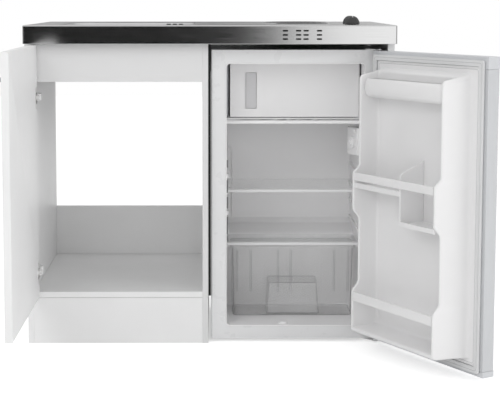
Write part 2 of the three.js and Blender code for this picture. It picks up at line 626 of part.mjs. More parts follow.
// ---------------------------------------------------------------- sink door and its cup hinges
// Plan positions are measured from the cabinet's left front corner. The door pin sits in the cup. The
// lever pin is on the line midway between the pin's closed and open places.
const PIN_ALONG = 11; // door pin from the door's hinge edge
const PIN_IN_DOOR = 3; // door pin behind the door's inner face
const OPEN_INNER_FACE = 33.5; // inner face of the open door, from the cabinet's outer side
const OPEN_EDGE = 4; // hinge edge of the open door ahead of the carcass
const LEVER_OFFSET = 14; // lever pin from the midpoint of the door pin's two places
const HINGE_FROM_ENDS = [69, 142]; // hinges from the door's bottom and top edges
const CUP_EDGE = 4; // cup from the door's hinge edge
const CUP_RADIUS = 17.5;
const CUP_DEPTH = 12.8;

const closedPin = new THREE.Vector2(DOOR_SIDE_GAP + PIN_ALONG, -DOOR_FACE_GAP - PIN_IN_DOOR);
const openPin = new THREE.Vector2(OPEN_INNER_FACE - PIN_IN_DOOR, -OPEN_EDGE - PIN_ALONG);
const pinTravel = openPin.clone().sub(closedPin);
const leverPin = closedPin.clone().add(openPin).multiplyScalar(0.5)
  .add(new THREE.Vector2(-pinTravel.y, pinTravel.x).normalize().multiplyScalar(LEVER_OFFSET));
const LEVER_X = CABINET_LEFT + leverPin.x;
const LEVER_Y = FRONT + leverPin.y;
const DOOR_PIN_X = CABINET_LEFT + openPin.x;
const DOOR_PIN_Y = FRONT + openPin.y;
const LEVER_LENGTH = leverPin.distanceTo(openPin);
const SINK_DOOR_WIDTH = CABINET_WIDTH - 2 * DOOR_SIDE_GAP;
const SINK_DOOR_TOP = SKIRT_BOTTOM - DOOR_TOP_GAP;
const HINGE_HEIGHTS = [DOOR_BOTTOM + HINGE_FROM_ENDS[0], SINK_DOOR_TOP - HINGE_FROM_ENDS[1]];
const PIN = 1.5;
const TONGUE = 4; // half height of the arm's nose and the cup's lug
const CHEEK = 2; // thickness of each lever cheek
const CRANK_HALF_WIDTH = 1.75;
const EYE = PIN + FIT + 0.6; // rounded ends of the lever, around its pins

// Mounting plate and arm, seen from above, from the panel's inner face to the lever pin.
function makeHingePlates() {
  HINGE_HEIGHTS.forEach((z, i) => {
    const [px, py] = [LEVER_X, LEVER_Y];
    const wall = INNER_LEFT;
    const plate = prism(roundedRect(FRONT + 22, FRONT + 58, z - 24, z + 24, 6), "x", wall, wall + 2);
    const armOutline = outline([
      [wall + 1.5, FRONT + 26], [wall + 5.5, FRONT + 19], [px - 2.6, py + 8], [px - 2.6, py], [px + 2.6, py],
      [px + 2.6, py + 14], [wall + 13, FRONT + 30], [wall + 12, FRONT + 66], [wall + 1.5, FRONT + 66],
    ]);
    const arm = prism(armOutline, "z", z - TONGUE, z + TONGUE);
    const rear = outline([
      [wall + 1.5, FRONT + 30], [wall + 12, FRONT + 30], [wall + 12, FRONT + 66], [wall + 1.5, FRONT + 66],
    ]);
    const body = prism(rear, "z", z - 8, z + 8);
    const nose = turned([[0, z - TONGUE], [2.9, z - TONGUE], [2.9, z + TONGUE], [0, z + TONGUE]], px, py, 16);
    const reach = TONGUE + FIT + CHEEK + 0.4;
    const pin = rod(PIN, [px, py, z - reach], [px, py, z + reach], 12);
    const screws = [[36, -17], [36, 17]].map(([dy, dz]) =>
      rod(3.5, [wall + 1, FRONT + dy, z + dz], [wall + 3, FRONT + dy, z + dz], 12));
    const adjust = rod(3, [wall + 11, FRONT + 44, z], [wall + 13.5, FRONT + 44, z], 12);
    const name = ["hinge_plate_lower", "hinge_plate_upper"][i];
    piece(unit, name, join(plate, arm, body, nose, pin, adjust, ...screws), NICKEL);
  });
}

// Cranked lever: two cheeks on the arm's pin, joined by the door pin between them.
function makeHingeLevers() {
  const levers = new THREE.Group();
  levers.position.set(LEVER_X, LEVER_Y, 0);
  levers.rotation.z = Math.atan2(openPin.y - leverPin.y, openPin.x - leverPin.x);
  unit.add(levers);
  const crank = [
    [0, 0], [1.3, 6], [4.9, 10.3], [10.2, 10.5], [15.35, 8.25], [18.15, 4.75], [LEVER_LENGTH, 0],
  ];
  HINGE_HEIGHTS.forEach((z, i) => {
    const cheeks = [-1, 1].map((side) => {
      const near = TONGUE + FIT;
      const [z0, z1] = side < 0 ? [z - near - CHEEK, z - near] : [z + near, z + near + CHEEK];
      const hole = rod(PIN + FIT, [0, 0, z0 - 1], [0, 0, z1 + 1], 12);
      const eyes = [0, LEVER_LENGTH].map((x) => rod(EYE, [x, 0, z0], [x, 0, z1], 16));
      return join(strap(crank, CRANK_HALF_WIDTH, z0, z1), ...eyes).subtract(hole);
    });
    const reach = TONGUE + FIT + CHEEK;
    const pin = rod(PIN, [LEVER_LENGTH, 0, z - reach], [LEVER_LENGTH, 0, z + reach], 12);
    piece(levers, ["hinge_lever_lower", "hinge_lever_upper"][i], join(...cheeks, pin), NICKEL);
  });
}

// The door's own frame has its origin on the door pin: +X along the door, +Y to the inner face.
function makeSinkDoor() {
  const door = new THREE.Group();
  door.position.set(DOOR_PIN_X, DOOR_PIN_Y, 0);
  door.rotation.z = -Math.PI / 2;
  unit.add(door);
  const left = -PIN_ALONG;
  const right = left + SINK_DOOR_WIDTH;
  const inner = PIN_IN_DOOR;
  const cupX = left + CUP_EDGE + CUP_RADIUS;
  let board = prism(roundedRect(left, right, inner - DOOR_BOARD, inner, 1), "z", DOOR_BOTTOM, SINK_DOOR_TOP, 1);
  const toward = (z, depth, r, from = inner + 1) => rod(r, [cupX, inner - depth, z], [cupX, from, z], 14);
  for (const z of HINGE_HEIGHTS) board = board.subtract(toward(z, CUP_DEPTH + FIT, CUP_RADIUS + FIT));
  piece(door, "sink_door", board, WHITE_BOARD);
  HINGE_HEIGHTS.forEach((z, i) => {
    const floor = 1;
    const cup = cut(toward(z, CUP_DEPTH, CUP_RADIUS, inner), toward(z, CUP_DEPTH - floor, CUP_RADIUS - 1));
    const flangeOutline = roundedRect(left + 3, cupX + 9, z - 30, z + 30, 8);
    const mouth = toward(z, 5, CUP_RADIUS - 1, inner + 3);
    const flange = cut(prism(flangeOutline, "y", inner + FIT, inner + 1.3), mouth);
    const seam = cut(toward(z, 1, CUP_RADIUS, inner + 0.8), mouth);
    const lug = outline([
      [left + CUP_EDGE + 0.9, -2.6], [2, -2.6], [2.6, -1.2], [2.6, 1.6], [0.8, 2.4],
      [left + CUP_EDGE + 0.9, 2.4],
    ]);
    const round = turned([[0, z - TONGUE], [2.9, z - TONGUE], [2.9, z + TONGUE], [0, z + TONGUE]], 0, 0, 16);
    const hole = rod(PIN + FIT, [0, 0, z - TONGUE - 1], [0, 0, z + TONGUE + 1], 12);
    const boss = cut(join(prism(lug, "z", z - TONGUE, z + TONGUE), round), hole);
    piece(door, ["hinge_cup_lower", "hinge_cup_upper"][i], join(cup, flange, seam, boss), NICKEL);
  });
  makeDoorKnob(door, right, inner - DOOR_BOARD);
}

// Small turned knob near the door's free edge.
function makeDoorKnob(door, right, face) {
  const inset = 32;
  const z = SINK_DOOR_TOP - 66;
  const profile = [[0, 0], [6, 0], [6, 2], [4.5, 6], [5, 10], [8.5, 15], [9, 18], [7, 20.5], [0, 21.5]];
  const points = profile.map(([r, h]) => new THREE.Vector2(r, h));
  const knob = new THREE.LatheGeometry(points, 16).rotateX(Math.PI).translate(right - inset, face - FIT, z);
  piece(door, "sink_door_knob", solidOf(knob), GREY_PLASTIC);
}

// ---------------------------------------------------------------- refrigerator casing and liner
// The compartment seen from the side, with the compressor step at the lower back.
function compartment(grow) {
  const front = CASING_FRONT - 5;
  const back = ROOM_BACK + grow;
  const step = CASING_FRONT + HUMP_DEPTH + grow;
  const low = ROOM_FLOOR - grow;
  const top = ROOM_CEILING + grow;
  const side = new THREE.Shape();
  side.moveTo(front, low);
  side.lineTo(step - 6, low);
  side.lineTo(step, low + 6);
  side.lineTo(step, HUMP_TOP - 42 - grow);
  side.absarc(step + 30, HUMP_TOP - 42 - grow, 30, Math.PI, Math.PI * 0.62, true);
  side.lineTo(back - 14, HUMP_TOP - grow);
  side.lineTo(back, HUMP_TOP + 14 - grow);
  side.lineTo(back, top);
  side.lineTo(front, top);
  const profile = prism(side, "x", ROOM_LEFT - grow - 5, ROOM_RIGHT + grow + 5, 5);
  const corner = 14 + grow;
  const plan = roundedRect(ROOM_LEFT - grow, ROOM_RIGHT + grow, front - 1, back + 1, [0, 0, corner, corner]);
  const faceCorner = 9 + grow;
  const face = roundedRect(ROOM_LEFT - grow, ROOM_RIGHT + grow, low, top, faceCorner);
  return profile.intersect(prism(plan, "z", low - 5, top + 5)).intersect(prism(face, "y", front - 2, back + 2));
}

const RECESS_FRONT = CASING_FRONT + HUMP_DEPTH + 36; // compressor recess behind the step
const RECESS_TOP = HUMP_TOP - 40;
const RECESS_SIDE = 24;

function makeCasing() {
  const plan = roundedRect(FRIDGE_LEFT, FRIDGE_RIGHT, CASING_FRONT, CASING_BACK, 3);
  const box = prism(plan, "z", FRIDGE_BOTTOM, FRIDGE_TOP, 2);
  const recess = block(
    FRIDGE_LEFT + RECESS_SIDE, FRIDGE_RIGHT - RECESS_SIDE, RECESS_FRONT, CASING_BACK + 1,
    FRIDGE_BOTTOM - 1, RECESS_TOP,
  );
  const skidWidth = 18; // the rear stands on two skids, the front on screw feet
  const skidOutline = roundedRect(CASING_BACK - 70, CASING_BACK - 10, 0, FRIDGE_BOTTOM + 1, [6, 6, 0, 0]);
  const skids = [FRIDGE_LEFT + 3, FRIDGE_RIGHT - 3 - skidWidth].map((x) =>
    prism(skidOutline, "x", x, x + skidWidth, 3));
  const casing = join(cut(box, compartment(LINER_WALL + FIT), recess), ...skids);
  piece(unit, "fridge_casing", casing, WHITE_ENAMEL);
}

// Moulded liner: ribs on the side walls carry the shelves, a bump on the sill stops the crisper.
const GUIDE_DEPTH = 7;
const GUIDE_HEIGHT = 9;

function makeLiner() {
  const trim = block(
    ROOM_LEFT - 20, ROOM_RIGHT + 20, CASING_FRONT - 20, CASING_FRONT, ROOM_FLOOR - 20, ROOM_CEILING + 20,
  );
  let liner = cut(compartment(LINER_WALL), compartment(0), trim);
  const guideFront = CASING_FRONT + SHELF_SETBACK - 25;
  const ribs = [];
  for (const top of [...RIB_TOPS, CRISPER_COVER_Z]) {
    const rear = top > HUMP_TOP ? ROOM_BACK - 12 : CASING_FRONT + HUMP_DEPTH - 5;
    for (const side of [-1, 1]) {
      const wall = side < 0 ? ROOM_LEFT : ROOM_RIGHT;
      const nose = wall - side * GUIDE_DEPTH;
      const root = wall + side * 1;
      const section = outline(
        side < 0
          ? [[root, top - GUIDE_HEIGHT - 4], [nose, top - GUIDE_HEIGHT], [nose, top], [root, top]]
          : [[nose, top - GUIDE_HEIGHT], [root, top - GUIDE_HEIGHT - 4], [root, top], [nose, top]],
      );
      const taken = top === UPPER_SHELF_Z || top === CRISPER_COVER_Z;
      ribs.push(prism(section, "y", guideFront + (taken ? 42 : 0), rear));
    }
  }
  const bump = turned([[0, ROOM_FLOOR - 1], [13, ROOM_FLOOR - 1], [11, ROOM_FLOOR + 5], [0, ROOM_FLOOR + 7]],
    ROOM_LEFT + 157, CASING_FRONT + 22, 16);
  liner = join(liner, ...ribs, bump);
  piece(unit, "fridge_liner", liner, WHITE_PLASTIC);
}

// ---------------------------------------------------------------- freezer compartment
const FLAP_LEFT = ROOM_LEFT + 10;
const FLAP_RIGHT = ROOM_RIGHT - 4;
const FLAP_PIVOT_X = FLAP_RIGHT - FREEZER_FLAP / 2;
const FLAP_PIVOT_Y = CASING_FRONT + FREEZER_SETBACK + FREEZER_FLAP / 2;
const BOX_FRONT = CASING_FRONT + FREEZER_SETBACK + FREEZER_FLAP + 1;
const BOX_BACK = ROOM_BACK - 18;

function makeFreezer() {
  const [x0, x1] = [ROOM_LEFT + 3, ROOM_RIGHT - 3];
  const wall = 2;
  const top = ROOM_CEILING - FIT;
  const sleeve = prism(roundedRect(x0, x1, FREEZER_BOTTOM - wall, top, 6), "y", BOX_FRONT, BOX_BACK);
  const room = prism(
    roundedRect(x0 + wall, x1 - wall, FREEZER_BOTTOM, top - wall, 4), "y", BOX_FRONT - 1, BOX_BACK - wall,
  );
  const ears = [FREEZER_TOP + 0.2, FREEZER_BOTTOM - wall].map((z) =>
    block(FLAP_PIVOT_X - 5, x1 - 4, FLAP_PIVOT_Y - 3, BOX_FRONT + 3, z, z + 1.5));
  const pinRadius = 1.5;
  const onPivot = (radius, z0, z1) =>
    rod(radius, [FLAP_PIVOT_X, FLAP_PIVOT_Y, z0], [FLAP_PIVOT_X, FLAP_PIVOT_Y, z1], 12);
  const pins = [
    onPivot(pinRadius, FREEZER_TOP - 5, FREEZER_TOP + 1),
    onPivot(pinRadius, FREEZER_BOTTOM - 1, FREEZER_BOTTOM + 5),
  ];
  piece(unit, "freezer_box", join(cut(sleeve, room), ...ears, ...pins), ALUMINIUM);

  const flapFront = CASING_FRONT + FREEZER_SETBACK;
  const flapBack = flapFront + FREEZER_FLAP;
  const round = FREEZER_FLAP / 2 - 0.1;
  const slab = prism(
    roundedRect(FLAP_LEFT, FLAP_RIGHT, flapFront, flapBack, [2, round, round, 2]), "z",
    FREEZER_BOTTOM + FIT, FREEZER_TOP - FIT,
  );
  const [hx0, hx1, hz0, hz1] = [FLAP_LEFT + 42, FLAP_LEFT + 74, FREEZER_BOTTOM + 23, FREEZER_TOP - 25];
  const grip = prism(roundedRect(hx0, hx1, hz0, hz1, 3), "y", flapFront - 1, flapFront + 9, 3);
  const panel = prism(roundedRect(FLAP_LEFT + 3, hx0 - 2, hz0, hz1, 2), "y", flapFront - 1, flapFront + 0.8, 2);
  const bores = [
    onPivot(pinRadius + FIT, FREEZER_BOTTOM - 1, FREEZER_BOTTOM + 6),
    onPivot(pinRadius + FIT, FREEZER_TOP - 6, FREEZER_TOP + 1),
  ];
  piece(unit, "freezer_flap", cut(slab, grip, panel, ...bores), WHITE_PLASTIC);
}

// Tray that catches defrost water under the freezer box.
function makeDripTray() {
  const [x0, x1] = [ROOM_LEFT + FIT, ROOM_RIGHT - FIT];
  const [y0, y1] = [CASING_FRONT + FREEZER_SETBACK + 3, BOX_BACK];
  const top = FREEZER_BOTTOM - 2 - 2.3;
  const outer = prism(roundedRect(y0, y1, DRIP_TRAY_BOTTOM, top, [4, 2, 0, 0]), "x", x0, x1, 3);
  const wall = 2;
  const hollow = roundedRect(y0 + wall, y1 - wall, DRIP_TRAY_BOTTOM + wall, top + 3, [3, 1, 0, 0]);
  const inner = prism(hollow, "x", x0 + wall, x1 - wall, 3);
  const ledges = [x0 + wall, x1 - wall - 6].map((x) =>
    block(x, x + 6, BOX_FRONT + 5, y1 - wall, top - wall, top + 2.3));
  piece(unit, "drip_tray", join(cut(outer, inner), ...ledges), WHITE_PLASTIC);
}

// ---------------------------------------------------------------- shelves and crisper
function makeGlassShelf(name, z, rear) {
  const [x0, x1] = [ROOM_LEFT + SHELF_SIDE_GAP, ROOM_RIGHT - SHELF_SIDE_GAP];
  const front = CASING_FRONT + SHELF_SETBACK;
  const trimDepth = 14;
  piece(unit, `${name}_glass`, block(x0, x1, front + 3, rear, z, z + GLASS), CLEAR);
  const body = roundedRect(front, front + trimDepth, z - 2.5, z + GLASS + 2, [2.5, 0, 0, 2.5]);
  const groove = block(x0 - 1, x1 + 1, front + 3 - FIT, front + trimDepth + 1, z - FIT, z + GLASS + FIT);
  piece(unit, `${name}_trim`, cut(prism(body, "x", x0, x1, 3), groove), WHITE_PLASTIC);
}

const CRISPER_FRONT = CASING_FRONT + SHELF_SETBACK + 4;
const CRISPER_BACK = CASING_FRONT + HUMP_DEPTH - 8;
const CRISPER_TOP = CRISPER_COVER_Z - 7;

function makeCrisper() {
  const width = ROOM_RIGHT - ROOM_LEFT - 2 * 12;
  const cx = (ROOM_LEFT + ROOM_RIGHT) / 2;
  const cy = (CRISPER_FRONT + CRISPER_BACK) / 2;
  const length = CRISPER_BACK - CRISPER_FRONT;
  const low = ROOM_FLOOR;
  const wall = 2.4;
  const draft = 5;
  const tub = (inset, z0, z1) =>
    loft([
      ring(cx, cy, width - 2 * (inset + draft + 3), length - 2 * (inset + draft + 3), 16 - inset, z0),
      ring(cx, cy, width - 2 * (inset + draft), length - 2 * (inset + draft), 18 - inset, z0 + 4),
      ring(cx, cy, width - 2 * inset, length - 2 * inset, 20 - inset, z1),
    ]);
  let tubShell = cut(tub(0, low, CRISPER_TOP), tub(wall, low + wall, CRISPER_TOP + 1));
  const ribs = [];
  for (const x of [-157, -118, -41, -5, 118, 157].map((dx) => cx + dx)) {
    const face = CRISPER_FRONT + draft;
    ribs.push(block(x - 2, x + 2, face - 1, face + 1.6, low + 70, CRISPER_TOP - 6));
  }
  const lip = cut(
    prism(
      roundedRect(cx - 60, cx + 60, CRISPER_FRONT - 1, CRISPER_FRONT + 14, 3), "z",
      CRISPER_TOP - 14, CRISPER_TOP,
    ),
    prism(
      roundedRect(cx - 57, cx + 57, CRISPER_FRONT + 1.4, CRISPER_FRONT + 16, 2), "z",
      CRISPER_TOP - 11.6, CRISPER_TOP + 1,
    ),
  );
  tubShell = join(tubShell, ...ribs, lip);
  piece(unit, "crisper_drawer", tubShell, CLEAR);

  const trayX = cx + 2;
  const trayTop = low + 92;
  const trayLow = low + wall + FIT;
  const tray = (inset, z0, z1) =>
    loft([
      ring(trayX, cy, 152 - 2 * inset, length - 34 - 2 * inset, 10 - inset, z0),
      ring(trayX, cy, 138 - 2 * inset, length - 40 - 2 * inset, 10 - inset, z1),
    ]);
  piece(unit, "crisper_insert", cut(tray(0, trayLow, trayTop), tray(2, trayLow + 2, trayTop + 1)), CLEAR);
}

// ---------------------------------------------------------------- thermostat
// The housing is a wedge on the right wall; its face turns towards the door, and the dial sits square to it.
const THERMOSTAT_TOP = DRIP_TRAY_BOTTOM - 15;
const THERMOSTAT_LOW = THERMOSTAT_TOP - 77;
const WEDGE_FRONT = CASING_FRONT + 120;
const WEDGE_ANGLE = 27; // degrees between the dial face and the side wall
const DIAL_RADIUS = 17;
const DIAL_THICK = 7;

function makeThermostat() {
  const wall = ROOM_RIGHT - FIT;
  const tilt = (WEDGE_ANGLE * Math.PI) / 180;
  const start = [wall - 7, WEDGE_FRONT];
  const faceLength = 44;
  const end = [start[0] - Math.sin(tilt) * faceLength, start[1] + Math.cos(tilt) * faceLength];
  const corners = [
    [wall, WEDGE_FRONT], start, end, [end[0], end[1] + 26], [end[0] + 6, end[1] + 34], [wall, end[1] + 34],
  ];
  const plan = outline(corners.reverse());
  const [low, top] = [THERMOSTAT_LOW, THERMOSTAT_TOP];
  const body = prism(plan, "z", low, top);
  const soften = prism(
    roundedRect(end[0] - 8, wall + 8, low, top, [14, 0, 0, 14]), "y", WEDGE_FRONT - 1, end[1] + 40,
  );
  const middle = [(start[0] + end[0]) / 2, (start[1] + end[1]) / 2];
  const normal = [-Math.cos(tilt), -Math.sin(tilt)];
  const dialZ = low + 35;
  const at = (d) => [middle[0] + normal[0] * d, middle[1] + normal[1] * d, dialZ];
  const screwCap = rod(3.5, [wall - 12, WEDGE_FRONT + 6, top - 8], [wall - 14, WEDGE_FRONT - 0.5, top - 8], 12);
  const well = rod(4.3, at(-12), at(1), 16);
  const spindle = rod(3, at(-13), at(4), 12);
  const housing = join(cut(join(body.intersect(soften), screwCap), well), spindle);
  piece(unit, "thermostat_housing", housing, WHITE_PLASTIC);

  const dial = rod(DIAL_RADIUS, at(FIT), at(DIAL_THICK), 18);
  const bore = rod(3 + FIT, at(-1), at(4.5), 12);
  const gripBar = rod(DIAL_RADIUS * 0.45, at(DIAL_THICK - 0.5), at(DIAL_THICK + 4), 12);
  const notches = [];
  const notchCount = 6;
  for (let i = 0; i < notchCount; i++) {
    const a = ((i + 0.5) / notchCount) * Math.PI * 2;
    const r = DIAL_RADIUS + 1.2;
    const across = [Math.sin(tilt) * r * Math.cos(a), -Math.cos(tilt) * r * Math.cos(a)];
    const shift = (p) => [p[0] + across[0], p[1] + across[1], p[2] + r * Math.sin(a)];
    notches.push(rod(2.4, shift(at(1)), shift(at(DIAL_THICK + 1)), 6));
  }
  piece(unit, "thermostat_dial", cut(join(dial, gripBar), bore, ...notches), WHITE_PLASTIC);
}

// ---------------------------------------------------------------- cooling unit at the back
const COMPRESSOR_X = FRIDGE_RIGHT - 130;
const COMPRESSOR_Y = (RECESS_FRONT + CASING_BACK) / 2 + 2;
const BASE_PLATE_Z = 20;

function makeCooling() {
  const [x0, x1] = [FRIDGE_LEFT + RECESS_SIDE, FRIDGE_RIGHT - RECESS_SIDE];
  const plateProfile = outline([
    [RECESS_FRONT, BASE_PLATE_Z], [CASING_BACK, BASE_PLATE_Z], [CASING_BACK, BASE_PLATE_Z + 12],
    [CASING_BACK - 1.5, BASE_PLATE_Z + 12], [CASING_BACK - 1.5, BASE_PLATE_Z + 1.5],
    [RECESS_FRONT, BASE_PLATE_Z + 1.5],
  ]);
  const base = prism(plateProfile, "x", x0, x1);
  const low = BASE_PLATE_Z + 1.5;
  const radius = 52;
  const pot = turned(
    [
      [0, low + 12], [radius * 0.6, low + 12], [radius * 0.9, low + 22], [radius, low + 40], [radius, low + 66],
      [radius + 3, low + 66], [radius + 3, low + 70], [radius, low + 70], [radius, low + 100],
      [radius * 0.92, low + 122], [radius * 0.66, low + 138], [radius * 0.3, low + 145], [0, low + 146],
    ],
    COMPRESSOR_X, COMPRESSOR_Y, 16,
  );
  const legs = [];
  for (const [sx, sy] of [[-1, -1], [1, -1], [1, 1], [-1, 1]]) {
    const [fx, fy] = [COMPRESSOR_X + sx * 44, COMPRESSOR_Y + sy * 38];
    legs.push(turned([[0, low - 0.5], [9, low - 0.5], [7, low + 12], [0, low + 12]], fx, fy, 8));
  }
  const [cx, cy] = [COMPRESSOR_X, COMPRESSOR_Y];
  const feetPlate = block(cx - 52, cx + 52, cy - 44, cy + 44, low + 11, low + 14);
  const relay = block(cx - radius - 24, cx - radius + 6, cy - 20, cy + 20, low + 45, low + 95);
  piece(unit, "compressor", join(base, pot, feetPlate, relay, ...legs), BLACK);
  makeCondenser();
}

// Serpentine tube on a pressed plate, which stands off the casing's back on four brackets.
function makeCondenser() {
  const plateY = CASING_BACK + 14;
  const plateThick = 1.5;
  const coilY = plateY + plateThick + 1.6;
  const tubeRadius = 2.6;
  const [x0, x1] = [FRIDGE_LEFT + 66, FRIDGE_RIGHT - 66];
  const runs = 6;
  const [low, top] = [RECESS_TOP + 55, FRIDGE_TOP - 50];
  const pitch = (top - low) / (runs - 1);
  const points = [];
  for (let i = 0; i < runs; i++) {
    const z = low + i * pitch;
    const [from, to] = i % 2 ? [x1, x0] : [x0, x1];
    const inward = Math.sign(to - from);
    points.push([from, z], [to, z]);
    if (i === runs - 1) break;
    const bend = 5;
    for (let k = 1; k < bend; k++) {
      const a = (k / bend) * Math.PI;
      points.push([to + inward * (pitch / 2) * Math.sin(a), z + (pitch / 2) * (1 - Math.cos(a))]);
    }
  }
  const rings = points.map(([x, z], i) => {
    const before = points[Math.max(i - 1, 0)];
    const after = points[Math.min(i + 1, points.length - 1)];
    const length = Math.hypot(after[0] - before[0], after[1] - before[1]);
    const across = [-(after[1] - before[1]) / length, (after[0] - before[0]) / length];
    const sides = 6;
    return Array.from({ length: sides }, (_, k) => {
      const a = (k / sides) * Math.PI * 2;
      const r = tubeRadius * Math.cos(a);
      return new THREE.Vector3(x + across[0] * r, coilY + tubeRadius * Math.sin(a), z + across[1] * r);
    });
  });
  const bulge = pitch / 2 + 8; // the plate runs on past the tube's bends
  const plateOutline = roundedRect(x0 - bulge, x1 + bulge, low - 16, top + 16, 8);
  const plate = prism(plateOutline, "y", plateY, plateY + plateThick);
  const brackets = [];
  for (const x of [x0 + 12, x1 - 12]) {
    for (const z of [low + pitch * 0.5, top - pitch * 0.5]) {
      brackets.push(block(x - 8, x + 8, CASING_BACK, CASING_BACK + 1.5, z - 10, z + 10));
      brackets.push(block(x - 1.5, x + 1.5, CASING_BACK + 1, plateY + 0.5, z - 5, z + 5));
    }
  }
  piece(unit, "condenser", join(plate, loft(rings), ...brackets), BLACK);
}

function makeFridgeFeet() {
  const inset = 12;
  for (const [x, side] of [[FRIDGE_LEFT + inset, "left"], [FRIDGE_RIGHT - inset, "right"]]) {
    const y = CASING_FRONT + 50;
    const top = FRIDGE_BOTTOM;
    const profile = [[0, 0], [9, 0], [10.5, 1.5], [10.5, 5], [9, 6.5], [5, 6.5], [5, top], [0, top]];
    piece(unit, `fridge_foot_${side}`, turned(profile, x, y, 20), BLACK);
  }
}

// ---------------------------------------------------------------- refrigerator door
// Steel strap on the casing with a pin that stands into the door's end cap.
function makeFridgeHinges() {
  const reach = 12;
  const strapOutline = (x, y) => {
    const shape = new THREE.Shape();
    shape.moveTo(x + 8, y);
    shape.lineTo(x + 8, CASING_FRONT + 32);
    shape.lineTo(x - 34, CASING_FRONT + 32);
    shape.lineTo(x - 34, CASING_FRONT + 4);
    shape.lineTo(x - 8, y + 2);
    shape.absarc(x, y, 8, Math.PI, Math.PI * 2, false);
    return shape;
  };
  const thick = 3;
  const [x, y] = [PIVOT_X, PIVOT_Y];
  const topPlate = prism(strapOutline(x, y), "z", FRIDGE_TOP, FRIDGE_TOP + thick);
  const topPin = rod(PIN_RADIUS, [x, y, LEAF_TOP - reach], [x, y, FRIDGE_TOP + 1]);
  const headProfile = [[0, 2], [4, 2], [3.4, 5], [0, 5.6]].map(([r, h]) => [r, FRIDGE_TOP + h]);
  const heads = [CASING_FRONT + 12, CASING_FRONT + 24].map((sy) => turned(headProfile, x - 24, sy, 12));
  piece(unit, "fridge_hinge_top", join(topPlate, topPin, ...heads), STEEL);
  const lowPlate = prism(strapOutline(x, y), "z", FRIDGE_BOTTOM - thick, FRIDGE_BOTTOM);
  const lowPin = rod(PIN_RADIUS, [x, y, FRIDGE_BOTTOM - 1], [x, y, LEAF_BOTTOM + reach]);
  const [bore, washerLow, washerTop] = [PIN_RADIUS - 0.5, FRIDGE_BOTTOM - 0.5, LEAF_BOTTOM - FIT];
  const washerProfile = [[bore, washerLow], [6, washerLow], [6, washerTop], [bore, washerTop], [bore, washerLow]];
  const washer = turned(washerProfile, x, y, 16);
  piece(unit, "fridge_hinge_bottom", join(lowPlate, lowPin, washer), STEEL);
}

// The door is built closed in its own frame, with the origin on the hinge axis: +X to the hinge side and
// +Y to the casing. "along" runs from the hinge edge, "rise" stands off the door's inner face.
const HINGE_EDGE = PIVOT_INSET;
const FREE_EDGE = HINGE_EDGE - LEAF_WIDTH;
const INNER_FACE = PIVOT_DEPTH;
const OUTER_FACE = INNER_FACE - LEAF_THICKNESS;
const along = (s) => HINGE_EDGE - s;
const rise = (h) => INNER_FACE + FIT + h;
const DYKE_NEAR = 50; // ridge of the hinge-side wall
const DYKE_FAR = 390; // ridge of the free-side wall
const DYKE_WALL = 7;
const DYKE_RISE = 82;
const SHELF_RISE = 102; // the side walls stand out this far beside the shelves
const PLATEAU = 22; // back of the door shelves above the inner face
const DYKE_TOP = LEAF_TOP - 42.5;
const DYKE_BOTTOM = LEAF_BOTTOM + 42;
const BOTTLE_FLOOR = DYKE_BOTTOM + 14;
const GASKET_RISE = 7.4;
const GASKET_WIDTH = 15;
const GASKET_INSET = 9;

// Heights of the door's fittings, as shares of the moulding.
const doorHeight = (share) => Math.round(DYKE_BOTTOM + share * (DYKE_TOP - DYKE_BOTTOM));
const BOTTLE_STEP = doorHeight(0.1619);
const TALL_SHELF = doorHeight(0.4474); // floor of the deep bay
const SHORT_SHELF = doorHeight(0.5568); // floor of the shallow bay
const TOP_BIN = doorHeight(0.8949);

function leafBlock(s0, s1, h0, h1, z0, z1) {
  return block(along(s1), along(s0), rise(h0), rise(h1), z0, z1);
}

function makeLeafPanel(leaf) {
  const section = (grow) =>
    roundedRect(FREE_EDGE - grow, HINGE_EDGE, OUTER_FACE - grow, INNER_FACE, [6, 6, 1, 1]);
  const bodyLow = LEAF_BOTTOM + BOTTOM_CAP;
  const bodyTop = LEAF_TOP - TOP_CAP;
  piece(leaf, "fridge_door_panel", prism(section(0), "z", bodyLow + FIT, bodyTop - FIT), WHITE_ENAMEL);
  const gripOutline = roundedRect(FREE_EDGE + 40, FREE_EDGE + 210, bodyTop + 4, LEAF_TOP - 8, 6);
  const grip = prism(gripOutline, "y", OUTER_FACE - 2, OUTER_FACE + 13, 4);
  const topBore = rod(PIN_RADIUS + FIT, [0, 0, LEAF_TOP - 14], [0, 0, LEAF_TOP + 1]);
  const topCap = cut(prism(section(0.8), "z", bodyTop, LEAF_TOP), grip, topBore);
  piece(leaf, "fridge_door_top_cap", topCap, GREY_PLASTIC);
  const lowBore = rod(PIN_RADIUS + FIT, [0, 0, LEAF_BOTTOM - 1], [0, 0, LEAF_BOTTOM + 14]);
  const bottomCap = cut(prism(section(0.8), "z", LEAF_BOTTOM, bodyLow), lowBore);
  piece(leaf, "fridge_door_bottom_cap", bottomCap, GREY_PLASTIC);
}

function makeGasket(leaf) {
  const outline = (inset) =>
    roundedRect(FREE_EDGE + inset, HINGE_EDGE - inset, LEAF_BOTTOM + inset, LEAF_TOP - inset, 5);
  const bar = (inset, width, h0, h1) =>
    cut(
      prism(outline(inset), "y", rise(h0), rise(h1), 3),
      prism(outline(inset + width), "y", rise(h0) - 1, rise(h1) + 1, 3),
    );
  const base = bar(GASKET_INSET + 2, GASKET_WIDTH - 4, 0, 4);
  const lip = bar(GASKET_INSET, GASKET_WIDTH, 3.4, GASKET_RISE);
  piece(leaf, "fridge_door_gasket", join(base, lip), GASKET);
}

